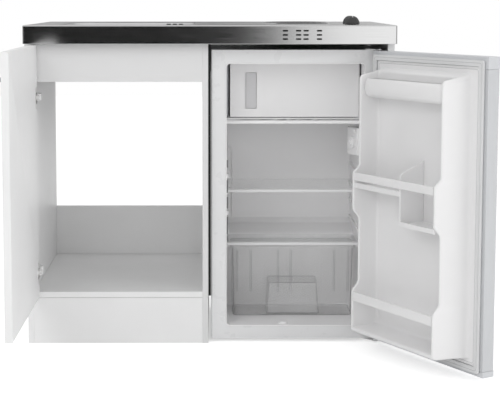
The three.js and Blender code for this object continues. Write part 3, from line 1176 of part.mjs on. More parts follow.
// How far the side walls stand out at each height: they step out beside the middle and bottom shelves.
function dykeSection() {
  return outline([
    [0, DYKE_BOTTOM - 6], [SHELF_RISE - 8, DYKE_BOTTOM], [SHELF_RISE, DYKE_BOTTOM + 8],
    [SHELF_RISE, BOTTLE_STEP], [DYKE_RISE, BOTTLE_STEP + 19],
    [DYKE_RISE, TALL_SHELF - 7], [SHELF_RISE, TALL_SHELF + 14],
    [SHELF_RISE, SHORT_SHELF + 40], [DYKE_RISE, SHORT_SHELF + 53],
    [DYKE_RISE, DYKE_TOP - 24], [DYKE_RISE - 8, DYKE_TOP - 17], [0, DYKE_TOP],
  ].map(([h, z]) => [rise(h), z]));
}

function makeLeafLiner(leaf) {
  const base = GASKET_INSET + GASKET_WIDTH + 1;
  const sheetOutline = roundedRect(
    along(LEAF_WIDTH - base), along(base), LEAF_BOTTOM + base, LEAF_TOP - base, 10,
  );
  const sheet = prism(sheetOutline, "y", rise(0), rise(3), 3);
  // tapering block: wide at the door, narrow at the ridges
  const taper = outline([
    [along(DYKE_FAR + 17), rise(0)], [along(DYKE_NEAR - 6), rise(0)],
    [along(DYKE_NEAR - 3), rise(SHELF_RISE * 0.5)],
    [along(DYKE_NEAR), rise(SHELF_RISE + 1)], [along(DYKE_FAR), rise(SHELF_RISE + 1)],
    [along(DYKE_FAR + 13), rise(SHELF_RISE * 0.3)],
  ]);
  const solid = prism(dykeSection(), "x", along(LEAF_WIDTH), along(0))
    .intersect(prism(taper, "z", DYKE_BOTTOM - 20, DYKE_TOP + 20));
  const pocket = leafBlock(
    DYKE_NEAR + DYKE_WALL, DYKE_FAR - DYKE_WALL, PLATEAU, SHELF_RISE + 20, BOTTLE_FLOOR, DYKE_TOP + 30,
  );
  const coveLow = 10; // sloping foot of the bottle floor at the back
  const cove = prism(
    outline([[rise(PLATEAU) - 1, BOTTLE_FLOOR - 1], [rise(PLATEAU) + coveLow, BOTTLE_FLOOR - 1],
      [rise(PLATEAU) - 1, BOTTLE_FLOOR + coveLow]]),
    "x", along(DYKE_FAR - 2), along(DYKE_NEAR + 2),
  );
  piece(leaf, "fridge_door_liner", join(sheet, cut(solid, pocket), cove), WHITE_PLASTIC);
}

const BAY_NEAR = DYKE_NEAR + DYKE_WALL + FIT;
const BAY_FAR = DYKE_FAR - DYKE_WALL - FIT;
const DIVIDER_AT = 247;

// Fittings between the side walls: a top bin, a divided middle shelf and two retaining rails.
function makeLeafFittings(leaf) {
  makeTopBin(leaf);
  const shelfFront = SHELF_RISE - 5;
  const shelfBack = PLATEAU + FIT;
  const bay = (s0, s1, floor, thick, lipThick, lipUnder, lipOver) =>
    join(
      leafBlock(s0, s1, shelfBack, shelfFront, floor, floor + thick),
      leafBlock(s0, s1, shelfFront - lipThick, shelfFront, floor - lipUnder, floor + lipOver),
    );
  const shallow = bay(BAY_NEAR, DIVIDER_AT, SHORT_SHELF, 4, 3, 4, 10);
  const deep = bay(DIVIDER_AT, BAY_FAR, TALL_SHELF, 5, 4, 2, 10);
  const dividerOutline = outline([
    [rise(shelfBack), TALL_SHELF - 2], [rise(shelfFront), TALL_SHELF - 2], [rise(shelfFront), SHORT_SHELF + 50],
    [rise(shelfFront - 8), SHORT_SHELF + 56], [rise(shelfBack), SHORT_SHELF + 84],
  ]);
  const divider = prism(dividerOutline, "x", along(DIVIDER_AT + 2.5), along(DIVIDER_AT - 2.5));
  piece(leaf, "fridge_door_shelf", join(shallow, deep, divider), WHITE_PLASTIC);

  const rail = (name, z0, z1) => {
    const front = SHELF_RISE;
    const section = roundedRect(rise(front - 4.4), rise(front), z0, z1, 2);
    piece(leaf, name, prism(section, "x", along(BAY_FAR), along(BAY_NEAR), 3), WHITE_PLASTIC);
  };
  rail("fridge_door_middle_rail", SHORT_SHELF + 17, SHORT_SHELF + 38);
  rail("fridge_door_bottle_rail", BOTTLE_STEP - 29, BOTTLE_STEP - 4);
}

function makeTopBin(leaf) {
  const [low, top] = [TOP_BIN, TOP_BIN + 48];
  const cx = along((BAY_NEAR + BAY_FAR) / 2);
  const width = BAY_FAR - BAY_NEAR;
  const [back, front] = [rise(PLATEAU + FIT), rise(DYKE_RISE - 2)];
  const cy = (back + front) / 2;
  const depth = front - back;
  const wall = 2.4;
  const bulge = [[0, 9], [6, 3], [14, 0.5], [24, 0], [36, 1], [44, 3], [48, 5]]; // [height, setback]
  const shell = (inset, rows) =>
    loft(rows.map(([h, back0]) =>
      ring(cx, cy, width - 2 * (inset + back0), depth - 2 * (inset + back0), 24 - inset - back0 / 2, low + h)));
  const outer = shell(0, bulge);
  const inner = shell(wall, [...bulge.slice(1), [top - low + 2, 5]].map(([h, s]) => [Math.max(h, wall), s]));
  const backPlate = block(cx - width / 2 + 30, cx + width / 2 - 30, back, back + 8, low + 2, top - 6);
  piece(leaf, "fridge_door_top_bin", join(cut(outer, inner), cut(backPlate, inner)), WHITE_PLASTIC);
}

function makeFridgeDoor() {
  const leaf = new THREE.Group();
  leaf.position.set(PIVOT_X, PIVOT_Y, 0);
  leaf.rotation.z = (LEAF_OPEN * Math.PI) / 180;
  unit.add(leaf);
  makeLeafPanel(leaf);
  makeGasket(leaf);
  makeLeafLiner(leaf);
  makeLeafFittings(leaf);
}

makeCarcass();
makeGapStrip();
makeWorktop();
makeBowl();
makeWaste();
makeOverflow();
makeHotplates();
makeHobPan();
makeControls();
makeHingePlates();
makeHingeLevers();
makeSinkDoor();
makeCasing();
makeLiner();
makeFreezer();
makeDripTray();
makeGlassShelf("upper_shelf", UPPER_SHELF_Z, CASING_FRONT + 349);
makeGlassShelf("crisper_cover", CRISPER_COVER_Z, CASING_FRONT + HUMP_DEPTH - 4);
makeCrisper();
makeThermostat();
makeCooling();
makeFridgeFeet();
makeFridgeHinges();
makeFridgeDoor();

export default unit;
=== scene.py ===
import json
import math

import bmesh
import bpy
from mathutils import Matrix, Vector


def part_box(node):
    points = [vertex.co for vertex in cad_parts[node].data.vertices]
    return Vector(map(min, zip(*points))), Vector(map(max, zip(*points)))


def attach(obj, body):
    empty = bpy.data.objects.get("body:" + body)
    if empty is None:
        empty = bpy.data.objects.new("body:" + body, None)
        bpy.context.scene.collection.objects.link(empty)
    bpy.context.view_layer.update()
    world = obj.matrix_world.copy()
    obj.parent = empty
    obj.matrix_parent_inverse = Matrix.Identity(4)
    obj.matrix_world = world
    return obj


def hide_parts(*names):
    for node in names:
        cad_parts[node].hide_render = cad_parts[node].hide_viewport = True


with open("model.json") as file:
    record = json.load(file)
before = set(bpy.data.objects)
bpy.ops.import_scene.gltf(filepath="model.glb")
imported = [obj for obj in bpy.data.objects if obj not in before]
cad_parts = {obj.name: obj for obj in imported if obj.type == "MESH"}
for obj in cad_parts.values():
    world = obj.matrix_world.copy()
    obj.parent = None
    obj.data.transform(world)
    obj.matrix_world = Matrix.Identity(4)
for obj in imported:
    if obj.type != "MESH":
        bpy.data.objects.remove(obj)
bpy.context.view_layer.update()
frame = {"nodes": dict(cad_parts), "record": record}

scene = bpy.context.scene
MM = 0.001

# ---------------------------------------------------------------- key places and sizes, in mm
WORKTOP = (-487, 513, -315, 285, 823, 873)  # X, Y and Z ranges
SHEET, SEAT_GAP = 1.2, 0.3  # the steel's thickness, and the clearance under the top sheet
BOWL_X, BOWL_Y = -215, -40
BOWL_WIDTH, BOWL_LENGTH, BOWL_CORNER, BOWL_FLOOR = 370, 400, 70, 743
BOWL_DRAFT, BOWL_ROUNDING, BOWL_FALL, BOWL_FLANGE = 12.8, 26, 4, 9
WASTE_HOLE = 80
VENT_ROWS = (836.4, 847.5, 858.6)
VENT_COLUMNS = (213.8, 249.1, 269.1, 304.8)
VENT_HALF, VENT_RADIUS = 5.1, 2.2  # half of a slot's straight part, and its end radius
OVERFLOW_X, OVERFLOW_Z, OVERFLOW_STEP = -85, 866.8, 18.5
OVERFLOW_HALF, OVERFLOW_RADIUS = 4.9, 1.9
OVERFLOW_CUT = (150, 175)  # Y range
PLATE_X, PLATE_TOP, PLATE_FOOT = 269, 875.4, 851
PLATES = {"rear": (100, 90), "front": (-140, 72.5)}  # Y and radius
CONTROL_X, SPINDLE_HOLE = 400, 4.5
CONTROLS = {"front": -235, "rear": -177}  # Y
KNOB_FOOT, KNOB_TOP, KNOB_RADIUS, KNOB_FLUTES = 874, 897, 20, 8
PULL_KNOB = (-475.8, -743, 754)
HINGE_AXIS = (466.5, -285)  # the upright axis of the refrigerator door
LEAF_TURN = math.radians(120)
LEAF_EDGE, LEAF_FACE = 8, 12.3  # the door's hinge edge and inner face, from the axis
LEAF_WIDTH, LEAF_HEIGHT, LEAF_MIDDLE = 458, 788.5, 410.2
LEAF_LAND = 3.0  # rise of the flat land round the door's ridge

# ---------------------------------------------------------------- materials


class Shading:
    """A Principled material whose colour, roughness and bump come from noise in the object's own space."""

    def __init__(self, name, colour, rough, metal=0.0):
        self.material = bpy.data.materials.new(name)
        self.material.use_nodes = True
        self.tree = self.material.node_tree
        self.shader = self.tree.nodes["Principled BSDF"]
        self.place = self.tree.nodes.new("ShaderNodeTexCoord").outputs["Object"]
        self.set("Base Color", (*colour, 1))
        self.set("Roughness", rough)
        self.set("Metallic", metal)
        self.height = None

    def set(self, socket, value):
        self.shader.inputs[socket].default_value = value
        return self

    def stretched(self, scale):
        node = self.tree.nodes.new("ShaderNodeMapping")
        node.inputs["Scale"].default_value = scale
        self.tree.links.new(self.place, node.inputs["Vector"])
        return node.outputs["Vector"]

    def noise(self, size, detail=3.0, stretch=(1, 1, 1)):
        node = self.tree.nodes.new("ShaderNodeTexNoise")
        node.inputs["Scale"].default_value = 1 / (size * MM)
        node.inputs["Detail"].default_value = detail
        self.tree.links.new(self.stretched(stretch), node.inputs["Vector"])
        return node.outputs["Fac"]

    def between(self, factor, low, high, start=0.3, stop=0.7):
        node = self.tree.nodes.new("ShaderNodeMapRange")
        for name, value in (("From Min", start), ("From Max", stop), ("To Min", low), ("To Max", high)):
            node.inputs[name].default_value = value
        self.tree.links.new(factor, node.inputs["Value"])
        return node.outputs["Result"]

    def tint(self, factor, first, second):
        node = self.tree.nodes.new("ShaderNodeMix")
        node.data_type = "RGBA"
        node.inputs["A"].default_value = (*first, 1)
        node.inputs["B"].default_value = (*second, 1)
        self.tree.links.new(factor, node.inputs["Factor"])
        self.tree.links.new(node.outputs["Result"], self.shader.inputs["Base Color"])
        return self

    def roughen(self, factor, low, high):
        self.tree.links.new(self.between(factor, low, high), self.shader.inputs["Roughness"])
        return self

    def bump(self, factor, depth, strength=1.0):
        node = self.tree.nodes.new("ShaderNodeBump")
        node.inputs["Strength"].default_value = strength
        node.inputs["Distance"].default_value = depth * MM
        self.tree.links.new(factor, node.inputs["Height"])
        if self.height:
            self.tree.links.new(self.height, node.inputs["Normal"])
        self.height = node.outputs["Normal"]
        self.tree.links.new(self.height, self.shader.inputs["Normal"])
        return self


def grey(level, warm=0.0):
    return (level * (1 + warm), level, level * (1 - warm))


def mottled(name, colour, rough, grain, depth, shift=0.03, metal=0.0):
    """A surface with slow shade changes, a fine grain and slightly uneven gloss."""
    made = Shading(name, colour, rough, metal)
    darker = tuple(c * (1 - shift) for c in colour)
    lighter = tuple(min(1.0, c * (1 + shift)) for c in colour)
    made.tint(made.between(made.noise(140, 2), 0, 1), darker, lighter)
    made.roughen(made.noise(30, 3), rough - 0.05, rough + 0.07)
    made.bump(made.noise(grain, 2), depth, 0.5)
    return made


def steel(name, along, tone, rough, turn=0.0, waves=1.0):
    """Brushed sheet: fine scratches that run along one axis, with slow waves in the sheet."""
    made = Shading(name, grey(tone, 0.004), rough, 1.0)
    stretch = [60, 60, 60]
    stretch["xyz".index(along)] = 0.6
    scratches = made.noise(60, 4, stretch)
    made.tint(made.between(scratches, 0, 1), grey(tone * 0.94), grey(min(1.0, tone * 1.04)))
    made.roughen(scratches, rough * 0.85, rough * 1.2)
    made.bump(scratches, 0.02 * waves, 0.25)
    made.bump(made.noise(220, 1), 0.2 * waves, 0.25)
    made.set("Anisotropic", 0.5 * waves).set("Anisotropic Rotation", turn)
    return made


def clear(name, tone, rough, haze):
    """A see-through sheet: haze is the share of light that it holds back, a little uneven."""
    made = Shading(name, tone, rough)
    made.roughen(made.noise(40, 3), rough, rough + 0.06)
    made.bump(made.noise(60, 1), 0.01, 0.2)
    share = made.between(made.noise(90, 2), haze * 0.95, haze * 1.05)
    made.tree.links.new(share, made.shader.inputs["Alpha"])
    return made


WHITE_BOARD = mottled("laminate", (0.87, 0.87, 0.87), 0.42, 0.9, 0.012, 0.01)
STEEL_TOP = steel("steel_top", "x", 0.57, 0.3)
STEEL_SKIRT = steel("steel_skirt", "x", 0.58, 0.13, 0.0, 0.1)
STEEL_BOWL = steel("steel_bowl", "y", 0.66, 0.3)
STEEL_TRIM = steel("steel_trim", "x", 0.66, 0.22)
NICKEL = mottled("nickel", grey(0.85, 0.005), 0.32, 1.2, 0.02, 0.04, 1.0)
# Galvanised steel darkened to near black: painted shade behind the worktop's vent slots.
ZINC_PAINTED_SHADE = mottled("zinc_painted_shade", grey(0.06), 0.5, 3.0, 0.05, 0.2, 0.8)
IRON = mottled("cast_iron", (0.026, 0.026, 0.028), 0.3, 0.6, 0.02, 0.15, 0.0)
IRON.set("Coat Weight", 0.5).set("Coat Roughness", 0.25)
ENAMEL = mottled("enamel", (0.79, 0.793, 0.798), 0.3, 9, 0.004, 0.008)
PANEL = mottled("door_enamel", (0.57, 0.58, 0.595), 0.35, 12, 0.002, 0.006)
SEAM = mottled("seam", (0.42, 0.425, 0.43), 0.5, 2, 0.01, 0.03)
LINER = mottled("moulded_white", (0.91, 0.905, 0.91), 0.34, 9, 0.006, 0.01)
# A lighter copy of the moulded white: painted light on the drip tray, and a painted highlight line along the
# back plate's edge.
LIT_TRAY_WHITE = mottled("tray_white_painted_light", (0.95, 0.948, 0.95), 0.3, 9, 0.006, 0.01)
SHADED_BOARD_EDGE = mottled("laminate_edge_painted_shade", (0.74, 0.74, 0.742), 0.42, 0.9, 0.012, 0.01)  # a darker copy of the laminate: painted shade on the front edges of the middle panel and the front rail
# Painted shade for the grooves between the shelf rungs.
PAINTED_GROOVE_SHADE = mottled("groove", (0.22, 0.22, 0.225), 0.6, 4, 0.01, 0.03)
DOOR_LINER = mottled("moulded_door_white", (0.82, 0.817, 0.82), 0.34, 9, 0.006, 0.01)
TRIM = mottled("trim_white", (0.82, 0.82, 0.825), 0.36, 1.4, 0.01, 0.012)
CAP = mottled("cap_grey", (0.62, 0.63, 0.65), 0.38, 1.2, 0.015, 0.02)
RUBBER = mottled("gasket", (0.70, 0.705, 0.71), 0.6, 0.8, 0.03, 0.02)
BLACK = mottled("black_plastic", grey(0.010), 0.6, 0.8, 0.05, 0.2).set("Specular IOR Level", 0.2)
DARK = mottled("dark_plastic", grey(0.03), 0.4, 0.6, 0.05, 0.15)
LACQUER = mottled("black_lacquer", grey(0.015), 0.35, 2.0, 0.06, 0.2)
GREY = mottled("grey_plastic", (0.13, 0.13, 0.135), 0.35, 0.8, 0.03, 0.06)
SILVER = mottled("anodised", (0.62, 0.64, 0.66), 0.4, 1.2, 0.02, 0.03, 0.7)
GLASS = clear("shelf_glass", (0.84, 0.88, 0.87), 0.03, 0.1)
CRYSTAL = clear("clear_plastic", (0.98, 0.98, 0.985), 0.06, 0.16)
# Darker, denser clear plastic for the drawer's edges and front ribs: painted shade lines along the clear
# plastic's edges.
CRYSTAL_EDGE_SHADE = clear("clear_edge_painted_shade", (0.30, 0.30, 0.31), 0.1, 0.55)
HINGE_COVER = mottled("hinge_cover", grey(0.93), 0.3, 4, 0.01, 0.01)
# Near-black clear plastic for the insert's edges: painted shade lines.
INSERT_EDGE_SHADE = clear("insert_edge_painted_shade", (0.14, 0.14, 0.145), 0.1, 0.8)
# Whiter, denser clear plastic for the drawer's rim and back ribs: painted highlight lines.
CRYSTAL_LIP_HIGHLIGHT = clear("clear_lip_painted_highlight", (0.9, 0.9, 0.91), 0.08, 0.7)
# A greyer copy of the moulded white: painted shade in the freezer flap's finger grip.
GRIP_PAINTED_SHADE = mottled("grip_shade", (0.62, 0.62, 0.63), 0.4, 9, 0.006, 0.015)

FINISH = {
    "white_board": WHITE_BOARD, "stainless": STEEL_TOP, "cast_iron": IRON, "galvanised": ZINC_PAINTED_SHADE,
    "nickel": NICKEL, "black_plastic": BLACK, "black_metal": LACQUER, "dark_plastic": DARK,
    "grey_plastic": GREY, "white_enamel": ENAMEL, "white_plastic": LINER,
    "aluminium_liner": SILVER, "gasket": RUBBER, "clear_glass": GLASS, "clear_plastic": CRYSTAL,
}
SLOT_OF = {entry["node"]: entry["material_slot"] for entry in frame["record"]["subparts"]}
BODY_OF = {node: body for body, nodes in frame["record"]["behaviour"]["bodies"].items() for node in nodes}

# ---------------------------------------------------------------- mesh helpers


def place(name, mesh, finish, body, *nodes):
    """Puts a mesh in the scene, on a body, in the place of the named nodes."""
    made = bpy.data.objects.new(name, mesh)
    scene.collection.objects.link(made)
    mesh.materials.clear()
    mesh.materials.append(finish.material)
    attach(made, body)
    if nodes:
        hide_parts(*nodes)
    return made


def smooth(made, angle=35):
    made.data.shade_smooth()
    made.data.set_sharp_from_angle(angle=math.radians(angle))
    return made


def bevel(made, width, segments=2, angle=28):
    mod = made.modifiers.new("edges", "BEVEL")
    mod.width = width * MM
    mod.segments = segments
    mod.limit_method = "ANGLE"
    mod.angle_limit = math.radians(angle)
    mod.use_clamp_overlap = True
    mod.harden_normals = True
    mod.miter_outer = "MITER_ARC"
    return made


def soften(node, width, segments=2, finish=None, angle=28):
    """A copy of a node with its flat faces rebuilt whole and its edges rounded, shown in its place."""
    mesh = frame["nodes"][node].data.copy()
    mesh.name = "fine_" + node
    work = bmesh.new()
    work.from_mesh(mesh)
    bmesh.ops.remove_doubles(work, verts=work.verts, dist=1e-6)
    bmesh.ops.dissolve_limit(
        work, angle_limit=math.radians(0.6), verts=work.verts, edges=work.edges, use_dissolve_boundaries=False
    )
    work.to_mesh(mesh)
    work.free()
    made = place("fine_" + node, mesh, finish or FINISH[SLOT_OF[node]], BODY_OF[node], node)
    smooth(made, angle)
    return bevel(made, width, segments, angle)


def skin(name, rings, finish, body, nodes, closed=True, loop=False, caps=True):
    """Quads between rings of equal count."""
    work = bmesh.new()
    rows = [[work.verts.new(Vector(p) * MM) for p in ring] for ring in rings]
    count = len(rows[0])
    bands = len(rows) if loop else len(rows) - 1
    for k in range(bands):
        low, high = rows[k], rows[(k + 1) % len(rows)]
        for i in range(count if closed else count - 1):
            j = (i + 1) % count
            work.faces.new((low[i], low[j], high[j], high[i]))
    if caps and not loop:
        work.faces.new(rows[0][::-1])
        work.faces.new(rows[-1])
    bmesh.ops.recalc_face_normals(work, faces=work.faces)
    mesh = bpy.data.meshes.new(name)
    work.to_mesh(mesh)
    work.free()
    return smooth(place(name, mesh, finish, body, *nodes))


def turned(name, profile, centre, finish, body, nodes, sides=96, turn=None):
    """A body of revolution from [radius, height] corners. A radius of 0 closes an end."""
    work = bmesh.new()
    rows = []
    for radius, height in profile:
        if radius == 0:
            rows.append([work.verts.new((0, 0, height * MM))])
            continue
        ring = []
        for i in range(sides):
            a = 2 * math.pi * i / sides
            ring.append(work.verts.new((radius * MM * math.cos(a), radius * MM * math.sin(a), height * MM)))
        rows.append(ring)
    for low, high in zip(rows, rows[1:]):
        for i in range(sides):
            j = (i + 1) % sides
            if len(low) == 1 and len(high) == 1:
                break
            if len(low) == 1:
                work.faces.new((low[0], high[j], high[i]))
            elif len(high) == 1:
                work.faces.new((low[i], low[j], high[0]))
            else:
                work.faces.new((low[i], low[j], high[j], high[i]))
    bmesh.ops.recalc_face_normals(work, faces=work.faces)
    mesh = bpy.data.meshes.new(name)
    work.to_mesh(mesh)
    work.free()
    move = Matrix.Translation(Vector(centre) * MM)
    mesh.transform(move @ turn if turn else move)
    return smooth(place(name, mesh, finish, body, *nodes), 40)


def corner_ring(cx, cy, width, length, radius, z, steps=10):
    points = []
    for sx, sy, quarter in ((1, -1, -0.5), (1, 1, 0), (-1, 1, 0.5), (-1, -1, 1)):
        for i in range(steps + 1):
            a = (quarter + 0.5 * i / steps) * math.pi
            points.append((
                cx + sx * (width / 2 - radius) + radius * math.cos(a),
                cy + sy * (length / 2 - radius) + radius * math.sin(a), z,
            ))
    return points


def arc(cx, cy, radius, start, stop, steps):
    """[u, v] points on an arc, in degrees."""
    return [
        (cx + radius * math.cos(math.radians(start + (stop - start) * i / steps)),
         cy + radius * math.sin(math.radians(start + (stop - start) * i / steps)))
        for i in range(steps + 1)
    ]


# ---------------------------------------------------------------- cabinet
# The middle panel and the front rail take the darker laminate copy, which is painted shade.
for node in ("side_panel_left", "side_panel_middle", "side_panel_right", "cabinet_floor", "plinth_board",
             "front_rail", "rear_rail", "back_strip", "niche_rail", "sink_door"):
    soften(node, 0.6, 2, SHADED_BOARD_EDGE if node in ("side_panel_middle", "front_rail") else None)
# The gap strip stands in the narrow gap beside the refrigerator; its black is painted shade.
soften("gap_strip", 0.4, 1)

# ---------------------------------------------------------------- other nodes, with softer edges
SOFT_EDGES = {
    "sink_waste": 0.3, "overflow_box": 0.8, "hob_pan": 0.6, "switch_front": 0.6, "switch_rear": 0.6,
    "hinge_plate_lower": 0.4, "hinge_plate_upper": 0.4, "hinge_lever_lower": 0.3, "hinge_lever_upper": 0.3,
    "hinge_cup_lower": 0.3, "hinge_cup_upper": 0.3, "fridge_casing": 0.4, "fridge_liner": 2.0,
    "freezer_box": 0.6, "freezer_flap": 1.0, "drip_tray": 1.0, "upper_shelf_glass": 0.4,
    "upper_shelf_trim": 0.6, "crisper_cover_glass": 0.4, "crisper_cover_trim": 0.6,
    "thermostat_dial": 0.6, "compressor": 1.0, "condenser": 0.2,
    "fridge_foot_left": 0.5, "fridge_foot_right": 0.5, "fridge_hinge_top": 0.5, "fridge_hinge_bottom": 0.5,
    "fridge_door_panel": 1.0, "fridge_door_top_cap": 1.2, "fridge_door_bottom_cap": 1.2,
    "fridge_door_gasket": 0.8, "fridge_door_top_bin": 0.8, "fridge_door_shelf": 0.8,
    "fridge_door_middle_rail": 1.0, "fridge_door_bottle_rail": 1.0,
}
OWN_FINISH = {
    "upper_shelf_trim": TRIM, "crisper_cover_trim": TRIM, "fridge_door_top_cap": CAP,
    "fridge_door_bottom_cap": CAP, "freezer_flap": DOOR_LINER,
    "fridge_door_top_bin": DOOR_LINER, "fridge_door_shelf": DOOR_LINER,
    "fridge_door_middle_rail": DOOR_LINER, "fridge_door_bottle_rail": DOOR_LINER, "fridge_door_panel": PANEL,
    "drip_tray": LIT_TRAY_WHITE,
}
for node, width in SOFT_EDGES.items():
    soften(node, width, 3 if width >= 1 else 2, OWN_FINISH.get(node))
soften("thermostat_housing", 9, 5)


# ---------------------------------------------------------------- worktop and bowl


def inset_ring(inset, z, radius=5):
    x0, x1, y0, y1 = WORKTOP[:4]
    return corner_ring((x0 + x1) / 2, (y0 + y1) / 2, x1 - x0 - 2 * inset, y1 - y0 - 2 * inset,
                       max(radius - inset, 0.6), z, 6)


def flat_spline(curve, points):
    spline = curve.splines.new("POLY")
    spline.points.add(len(points) - 1)
    for point, (x, y) in zip(spline.points, points):
        point.co = (x * MM, y * MM, 0, 1)
    spline.use_cyclic_u = True


def sheet_with_holes(name, outlines, z, thickness):
    """A flat sheet from 2D outlines: the first is the edge, the rest are holes."""
    curve = bpy.data.curves.new(name, "CURVE")
    curve.dimensions = "2D"
    curve.fill_mode = "BOTH"
    curve.extrude = thickness / 2 * MM
    for points in outlines:
        flat_spline(curve, points)
    holder = bpy.data.objects.new(name, curve)
    scene.collection.objects.link(holder)
    bpy.context.view_layer.update()
    mesh = bpy.data.meshes.new_from_object(holder.evaluated_get(bpy.context.evaluated_depsgraph_get()))
    bpy.data.objects.remove(holder)
    mesh.transform(Matrix.Translation((0, 0, (z - thickness / 2) * MM)))
    return mesh


def worktop():
    """The folded skirt with its vent slots, and the sheet on top with its openings."""
    bend, fold = 2.6, 18
    z0, z1 = WORKTOP[4:]
    profile = [(bend + 0.6, z1)]
    profile += [
        (bend - bend * math.sin(math.radians(a)), z1 - bend + bend * math.cos(math.radians(a)))
        for a in (0, 15, 30, 45, 60, 75, 90)
    ]
    profile += [(0, z1 - bend - 0.6), (0, z0 + 1.2), (0, z0 + 0.6), (0.1, z0 + 0.25), (0.3, z0 + 0.05),
                (0.6, z0), (fold, z0), (fold, z0 + SHEET), (2 * SHEET, z0 + SHEET), (SHEET, z0 + 2 * SHEET),
                (SHEET, z1 - 2.6), (1.8, z1 - 1.6), (bend + 0.6, z1 - SHEET)]
    rings = [inset_ring(inset, z) for inset, z in profile]
    folded = skin("worktop_edge", rings, STEEL_SKIRT, "carcass", ["worktop"], loop=True)
    places = [(x, z) for z in VENT_ROWS for x in VENT_COLUMNS]
    cut_slots(folded, places, VENT_HALF, VENT_RADIUS, WORKTOP[2] - 2, WORKTOP[2] + 2.2)
    folded.modifiers.new("flat_faces", "WEIGHTED_NORMAL").keep_sharp = True
    edge = [(x, y) for x, y, _ in inset_ring(bend, 0)]
    bowl = [(x, y) for x, y, _ in corner_ring(BOWL_X, BOWL_Y, BOWL_WIDTH, BOWL_LENGTH, BOWL_CORNER, 0, 16)]
    holes = [arc(PLATE_X, y, radius + 1, 0, 356.25, 95) for y, radius in PLATES.values()]
    holes += [arc(CONTROL_X, y, SPINDLE_HOLE, 0, 345, 23) for y in CONTROLS.values()]
    top = sheet_with_holes("worktop_sheet", [edge, bowl, *holes], z1, SHEET)
    smooth(place("worktop_sheet", top, STEEL_TOP, "carcass", "worktop"), 30)


def cut_slots(made, places, half, radius, front, back):
    """Cuts round-ended slots along Y at [x, z] places."""
    cutters = bmesh.new()
    for x, z in places:
        ends = arc(x + half, z, radius, -90, 90, 6) + arc(x - half, z, radius, 90, 270, 6)
        near = [cutters.verts.new(Vector((u, front, v)) * MM) for u, v in ends]
        far = [cutters.verts.new(Vector((u, back, v)) * MM) for u, v in ends]
        cutters.faces.new(near)
        cutters.faces.new(far[::-1])
        for i in range(len(ends)):
            j = (i + 1) % len(ends)
            cutters.faces.new((near[j], near[i], far[i], far[j]))
    bmesh.ops.recalc_face_normals(cutters, faces=cutters.faces)
    mesh = bpy.data.meshes.new("slots")
    cutters.to_mesh(mesh)
    cutters.free()
    tool = bpy.data.objects.new("slots", mesh)
    scene.collection.objects.link(tool)
    mod = made.modifiers.new("cut", "BOOLEAN")
    mod.object = tool
    mod.solver = "EXACT"
    bpy.context.view_layer.update()
    result = bpy.data.meshes.new_from_object(made.evaluated_get(bpy.context.evaluated_depsgraph_get()))
    made.modifiers.clear()
    old = made.data
    result.name = old.name
    made.data = result
    bpy.data.meshes.remove(old)
    bpy.data.objects.remove(tool)
    smooth(made, 30)


def bowl():
    """The pressed bowl as one closed shell, with the overflow slots in its back wall."""
    rim = WORKTOP[5] - SHEET - SEAT_GAP
    depth = rim - BOWL_FLOOR
    steps, tighter = 14, 6

    def side(grow, lift):
        """Rings from the rim to the waste hole, on a face that lies grow outside the inner one."""
        out = [(0, BOWL_CORNER, lift)]
        for t in (0.25, 0.5, 0.75, 1.0):
            out.append((BOWL_DRAFT * t, BOWL_CORNER - tighter * t, (depth - BOWL_ROUNDING) * t))
        for a in range(10, 91, 10):
            t = math.radians(a)
            out.append((BOWL_DRAFT + BOWL_ROUNDING * (1 - math.cos(t)),
                        BOWL_CORNER - tighter - BOWL_ROUNDING * 0.5 * (1 - math.cos(t)),
                        depth - BOWL_ROUNDING + BOWL_ROUNDING * math.sin(t) + grow))
        rings = [corner_ring(BOWL_X, BOWL_Y, BOWL_WIDTH - 2 * s + 2 * grow, BOWL_LENGTH - 2 * s + 2 * grow,
                             radius + grow, rim - d, steps) for s, radius, d in out]
        last = rings[-1]
        hole = corner_ring(BOWL_X, BOWL_Y, WASTE_HOLE, WASTE_HOLE, WASTE_HOLE / 2 - 0.01,
                           BOWL_FLOOR - BOWL_FALL - grow, steps)
        for t in (0.2, 0.45, 0.7, 0.88, 1.0):
            rings.append([tuple(p + (q - p) * t for p, q in zip(a, b)) for a, b in zip(last, hole)])
        return rings

    rows = [corner_ring(BOWL_X, BOWL_Y, BOWL_WIDTH + 2 * BOWL_FLANGE, BOWL_LENGTH + 2 * BOWL_FLANGE,
                        BOWL_CORNER + BOWL_FLANGE, rim, steps)]
    rows.append([(x, y, z - SHEET) for x, y, z in rows[0]])
    rows += side(SHEET, SHEET)
    rows += side(0, 0)[::-1]
    made = skin("bowl", rows, STEEL_BOWL, "carcass", ["sink_bowl"], loop=True)
    places = [(OVERFLOW_X + OVERFLOW_STEP * (i - 1.5), OVERFLOW_Z) for i in range(4)]
    cut_slots(made, places, OVERFLOW_HALF, OVERFLOW_RADIUS, *OVERFLOW_CUT)


def pull_knob():
    """The turned knob of the sink door."""
    profile = [(0, 0), (6, 0), (6, 1.5), (5.2, 3), (4.5, 6), (4.6, 8), (5.2, 10.5), (7, 13.2), (8.5, 15),
               (9, 17), (8.9, 18.4), (8, 20), (6, 21), (3, 21.4), (0, 21.5)]
    turn = Matrix.Rotation(math.radians(-90), 4, "Y")
    turned("pull_knob", profile, PULL_KNOB, GREY, "sink_door", ["sink_door_knob"], 64, turn)


worktop()
bowl()
pull_knob()


